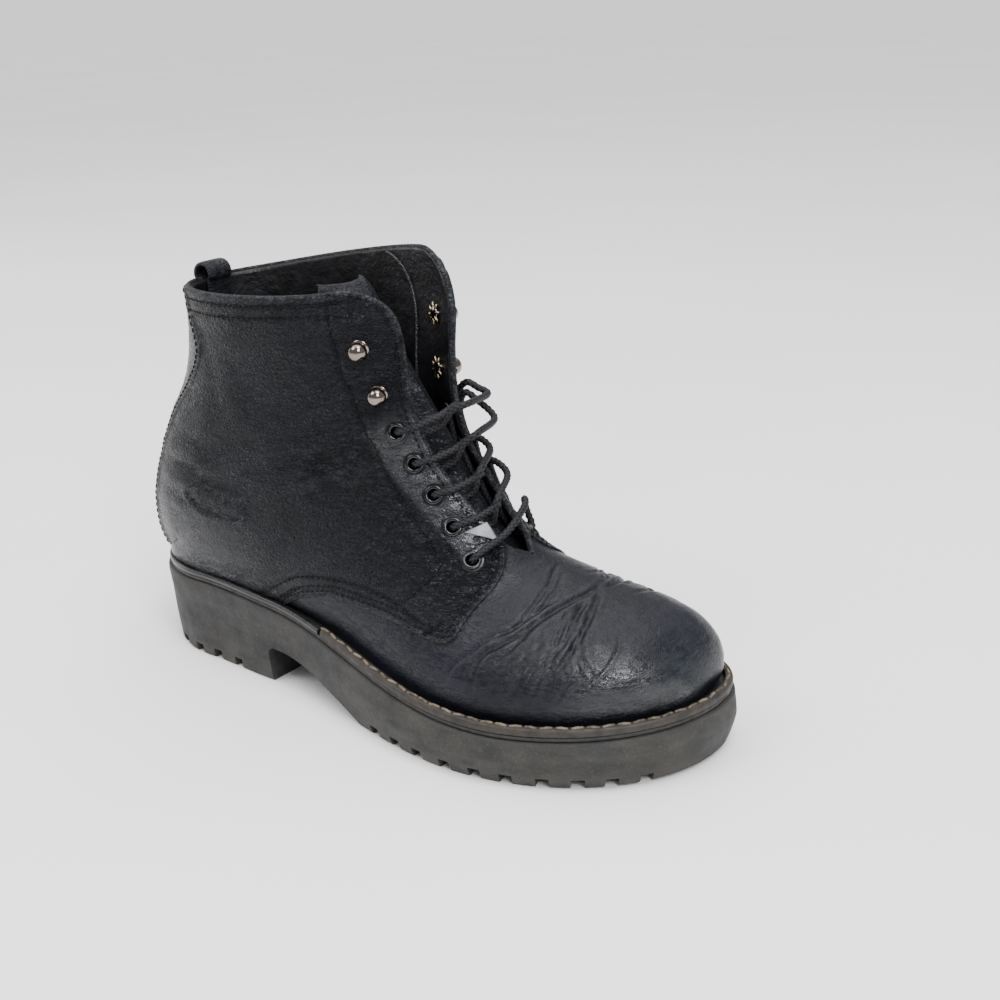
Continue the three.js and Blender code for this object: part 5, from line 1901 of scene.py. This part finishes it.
@dataclass
class Lace:
    """A round cord through the five pairs of eyelets."""

    thick: float = 2.9
    braid: float = 0.30
    sides: int = 20
    arches: tuple = (Arch(1.9, 3.4, 0.9, 6.0), Arch(1.8, 3.2, 0.8, 5.0), Arch(2.9, 4.6, 0.65, 12.0),
                     Arch(1.5, 5.5, 0.3, 12.0))   # from below

    def lifted(self, stops: Sequence[tuple]) -> Array:
        """Points over or under the leather.

        Args:
            stops: side, row, share and height over the form for each.
        Returns:
            (n, 3) array in mm.
        """
        points = []
        for side, row, share, height in stops:
            points.append(FORM.point(row, share, side) + FORM.normal(row, share, side) * height)
        return np.array(points)

    def under(self, side: Side, row: float, lower: Hole) -> list:
        """Stops beneath a facing, from its edge to the inside of an eyelet.

        Args:
            side: the facing's side.
            row: where the cord dips under its edge.
            lower: the eyelet that it goes to.
        Returns:
            Stops for lifted().
        """
        edge = float(FORM.throat(row, side))
        return [
            (side, row + 0.04, edge * 0.55, -2.6),
            (side, row - 0.05, edge * 1.05, -FORM.wall - 2.0),
            (side, (row + lower.row) / 2, lower.share * 0.86, -FORM.wall - 2.5),
            (side, lower.row + 0.01, lower.share - 0.01, -FORM.wall - 2.9),
        ]

    def near_strand(self, upper: Hole, lower: Hole) -> Array:
        """Path from the outer facing, low over its edge and under the inner facing."""
        side = Side.LATERAL
        edge = float(FORM.throat(upper.row, side))
        stops = [
            (side, upper.row, upper.share, -5.0),
            (side, upper.row, upper.share, -2.0),
            (side, upper.row - 0.02, upper.share - 0.006, 0.9),
            (side, upper.row - 0.11, upper.share - 0.045, 2.3),
            (side, upper.row - 0.18, edge + 0.01, 2.5),
            (side, upper.row - 0.14, edge * 0.5, 1.7),
            (side, upper.row - 0.02, 0.0, -0.6),
        ]
        return catmull(self.lifted(stops + self.under(Side.MEDIAL, upper.row - 0.1, lower)), 10)

    def far_strand(self, upper: Hole, lower: Hole, loop: "Arch") -> Array:
        """Path from the inner facing, in a loose loop over its edge and under the outer facing.

        Args:
            upper: the eyelet that it comes out of.
            lower: the eyelet that it goes to on the other side.
            loop: how far the loop stands off.
        Returns:
            A smooth path.
        """
        side, row, out = Side.MEDIAL, upper.row, loop.out
        edge = float(FORM.throat(row, side))
        dip = row - 0.42 * (upper.row - lower.row)
        stops = [
            (side, row, upper.share, -5.0),
            (side, row, upper.share, -2.0),
            (side, row + 0.03, upper.share, 1.2),
            (side, row + 0.45 * loop.peak, upper.share + 0.03, 3.2),
            (side, row + loop.peak, (upper.share + edge) / 2, loop.peak_out),
            (side, row + 0.55 * (loop.peak + loop.rise), edge * 1.05, (loop.peak_out + out) / 2 + 1),
            (side, row + loop.rise, edge * 0.9, out),
            (side, row + 0.35 * loop.rise, 0.0, 0.62 * out),
            (Side.LATERAL, row - 0.08, 0.05, max(2.4, 0.28 * out)),
        ]
        return catmull(self.lifted(stops + self.under(Side.LATERAL, dip, lower)), 10)

    def bar(self, hole: Hole) -> Array:
        """Loose path across the throat's foot, outside both facings."""
        a, b = Side.LATERAL, Side.MEDIAL
        edge_a, edge_b = float(FORM.throat(hole.row, a)), float(FORM.throat(hole.row, b))
        stops = [
            (a, hole.row, hole.share, -5.0),
            (a, hole.row, hole.share, -2.0),
            (a, hole.row, hole.share - 0.006, 0.9),
            (a, hole.row + 0.02, hole.share - 0.05, 2.4),
            (a, hole.row + 0.12, edge_a, 3.0),
            (a, hole.row + 0.42, 0.02, 4.6),
            (b, hole.row + 0.9, edge_b * 0.9, 6.4),
            (b, hole.row + 1.15, 0.17, 6.6),
            (b, hole.row + 0.8, 0.25, 5.0),
            (b, hole.row + 0.2, hole.share + 0.01, 2.6),
            (b, hole.row, hole.share, 0.6),
            (b, hole.row, hole.share, -2.0),
            (b, hole.row, hole.share, -5.0),
        ]
        return catmull(self.lifted(stops), 10)

    def build(self, cord: Material) -> None:
        """Makes and dresses every strand."""
        self.strand("lace_foot_bar", self.bar(EYELETS[0]), cord, "lace_bar")
        for k, arch in enumerate(self.arches, 1):
            upper, lower = EYELETS[k], EYELETS[k - 1]
            self.strand(f"lace_outer_{k}", self.near_strand(upper, lower), cord, f"lace_cross_{k}")
            self.strand(f"lace_inner_{k}", self.far_strand(upper, lower, arch), cord)

    def strand(self, name: str, path: Array, cord: Material, *nodes: str) -> None:
        """Makes and dresses one strand along its path."""
        dress(tube(name, path, self.thick / 2, self.sides, self.braid), cord, "lace_cord", *nodes)


# --- studio
@dataclass(frozen=True)
class Studio:
    """Pale floor, soft lights and the camera."""

    azimuth: float = 36.339
    elevation: float = 19.659
    roll: float = -1.796
    lens: float = 52.31
    place: tuple = (495.8, -428.7, 279.0)

    def camera(self) -> None:
        """Sets the camera, which looks down on the boot's outer side from its front."""
        a, e, r = (math.radians(t) for t in (self.azimuth, self.elevation, self.roll))
        back = Vector((math.sin(a) * math.cos(e), -math.cos(a) * math.cos(e), math.sin(e)))
        right = Vector((math.cos(a), math.sin(a), 0))
        up = back.cross(right)
        across = right * math.cos(r) + up * math.sin(r)
        upward = -right * math.sin(r) + up * math.cos(r)
        data = bpy.data.cameras.new("camera")
        data.lens = self.lens
        data.sensor_width = 36
        data.clip_start = 0.01
        obj = bpy.data.objects.new("camera", data)
        bpy.context.scene.collection.objects.link(obj)
        matrix = Matrix((across, upward, back)).transposed().to_4x4()
        matrix.translation = Vector(to_scene(np.array(self.place)).tolist())
        obj.matrix_world = matrix
        bpy.context.scene.camera = obj

    def floor(self) -> None:
        """A pale floor, wide enough to have no edge in view."""
        clear_selection()
        bpy.ops.mesh.primitive_plane_add(size=400, location=(0, 0, 0))
        obj = bpy.context.object
        obj.name = "studio_floor"
        s = Shader("floor_paper")
        color = s.mix(s.ramp(s.noise(3, 2), 0.3, 0.7), (0.86, 0.86, 0.86), (0.9, 0.9, 0.9))
        obj.data.materials.append(s.finish(color, 0.75, None, Specular_IOR_Level=0.2))

    def lights(self) -> None:
        """A bright white room with four soft panels and a wide weak sun."""
        world = bpy.data.worlds.new("room")
        bpy.context.scene.world = world
        world.use_nodes = True
        world.node_tree.nodes["Background"].inputs[0].default_value = (1, 1, 1, 1)
        world.node_tree.nodes["Background"].inputs[1].default_value = 0.55
        for name, place, size, power in (
            ("key", (-0.75, -1.0, 1.5), 0.9, 17),
            ("left", (-1.5, -0.1, 0.5), 0.6, 5),
            ("front", (1.30, -0.85, 1.30), 0.7, 30),
            ("over", (0.60, -0.15, 1.70), 0.7, 22),
        ):
            data = bpy.data.lights.new(name, "AREA")
            data.size = size
            data.energy = power
            self.aim(name, data, place)
        sky = bpy.data.lights.new("sky", "SUN")
        sky.energy = 2.5
        sky.angle = math.radians(70)
        self.aim("sky", sky, (-0.5, 0.5, 2.0))

    @staticmethod
    def aim(name: str, data: bpy.types.Light, place: tuple) -> None:
        """Hangs a light and points it at the boot."""
        obj = bpy.data.objects.new(name, data)
        bpy.context.scene.collection.objects.link(obj)
        obj.location = place
        obj.rotation_euler = (Vector((0, 0, 0.07)) - Vector(place)).to_track_quat("-Z", "Y").to_euler()

    def build(self) -> None:
        """Sets all of it."""
        self.camera()
        self.floor()
        self.lights()


def main() -> None:
    """Builds the boot piece by piece."""
    logging.basicConfig(level=logging.INFO, format="%(name)s %(message)s")
    Studio().build()
    leather = Leather().build()
    lining = Plain("lining_leather", (0.003, 0.003, 0.0035), (0.010, 0.010, 0.012), scale=90,
                   rough=(0.32, 0.5), grain_scale=420, grain_mm=0.6, specular=0.3).build()
    thread = Plain("black_thread", (0.0012, 0.0012, 0.0015), (0.006, 0.006, 0.007), scale=500,
                   rough=(0.5, 0.7), grain_scale=2500, grain_mm=0.08, specular=0.12).build()
    finishes = {
        "midsole": Plain("midsole_black", (0.006, 0.006, 0.006), (0.014, 0.013, 0.012), scale=200,
                         rough=(0.45, 0.7)).build(),
        "insole": Plain("insole_cloth", (0.03, 0.028, 0.026), (0.06, 0.055, 0.05), scale=200,
                        rough=(0.8, 0.95), grain_scale=1800, grain_mm=0.2).build(),
        "welt": Plain("welt_brown", (0.006, 0.0045, 0.0035), (0.026, 0.018, 0.012), scale=160,
                      rough=(0.5, 0.75), grain_scale=800, grain_mm=0.3).build(),
        "rand": Plain("rand_black", (0.004, 0.004, 0.004), (0.012, 0.011, 0.011), scale=150,
                      rough=(0.22, 0.42)).build(),
        "welt_thread": Plain("welt_thread", (0.035, 0.028, 0.020), (0.17, 0.135, 0.092), scale=260,
                             rough=(0.6, 0.85), grain_scale=2400, grain_mm=0.1).build(),
    }
    UPPER.build(leather, thread, lining)
    Tongue().build(leather)
    PullLoop().build(leather)
    Outsole().build(SoleRubber().build())
    SoleLayers().build(finishes)
    black = Metal("eyelet_black", (0.045, 0.045, 0.048), (0.02, 0.02, 0.02), (0.14, 0.28)).build()
    ball = Metal("stud_gunmetal", (0.21, 0.175, 0.155), (0.13, 0.105, 0.09), (0.06, 0.14)).build()
    brass = Metal("prong_brass", (0.62, 0.50, 0.28), (0.4, 0.3, 0.16), (0.2, 0.4)).build()
    Fittings().build(black, ball, brass)
    Lace().build(Cord().build())


if __name__ == "__main__":
    main()
    bpy.context.view_layer.update()
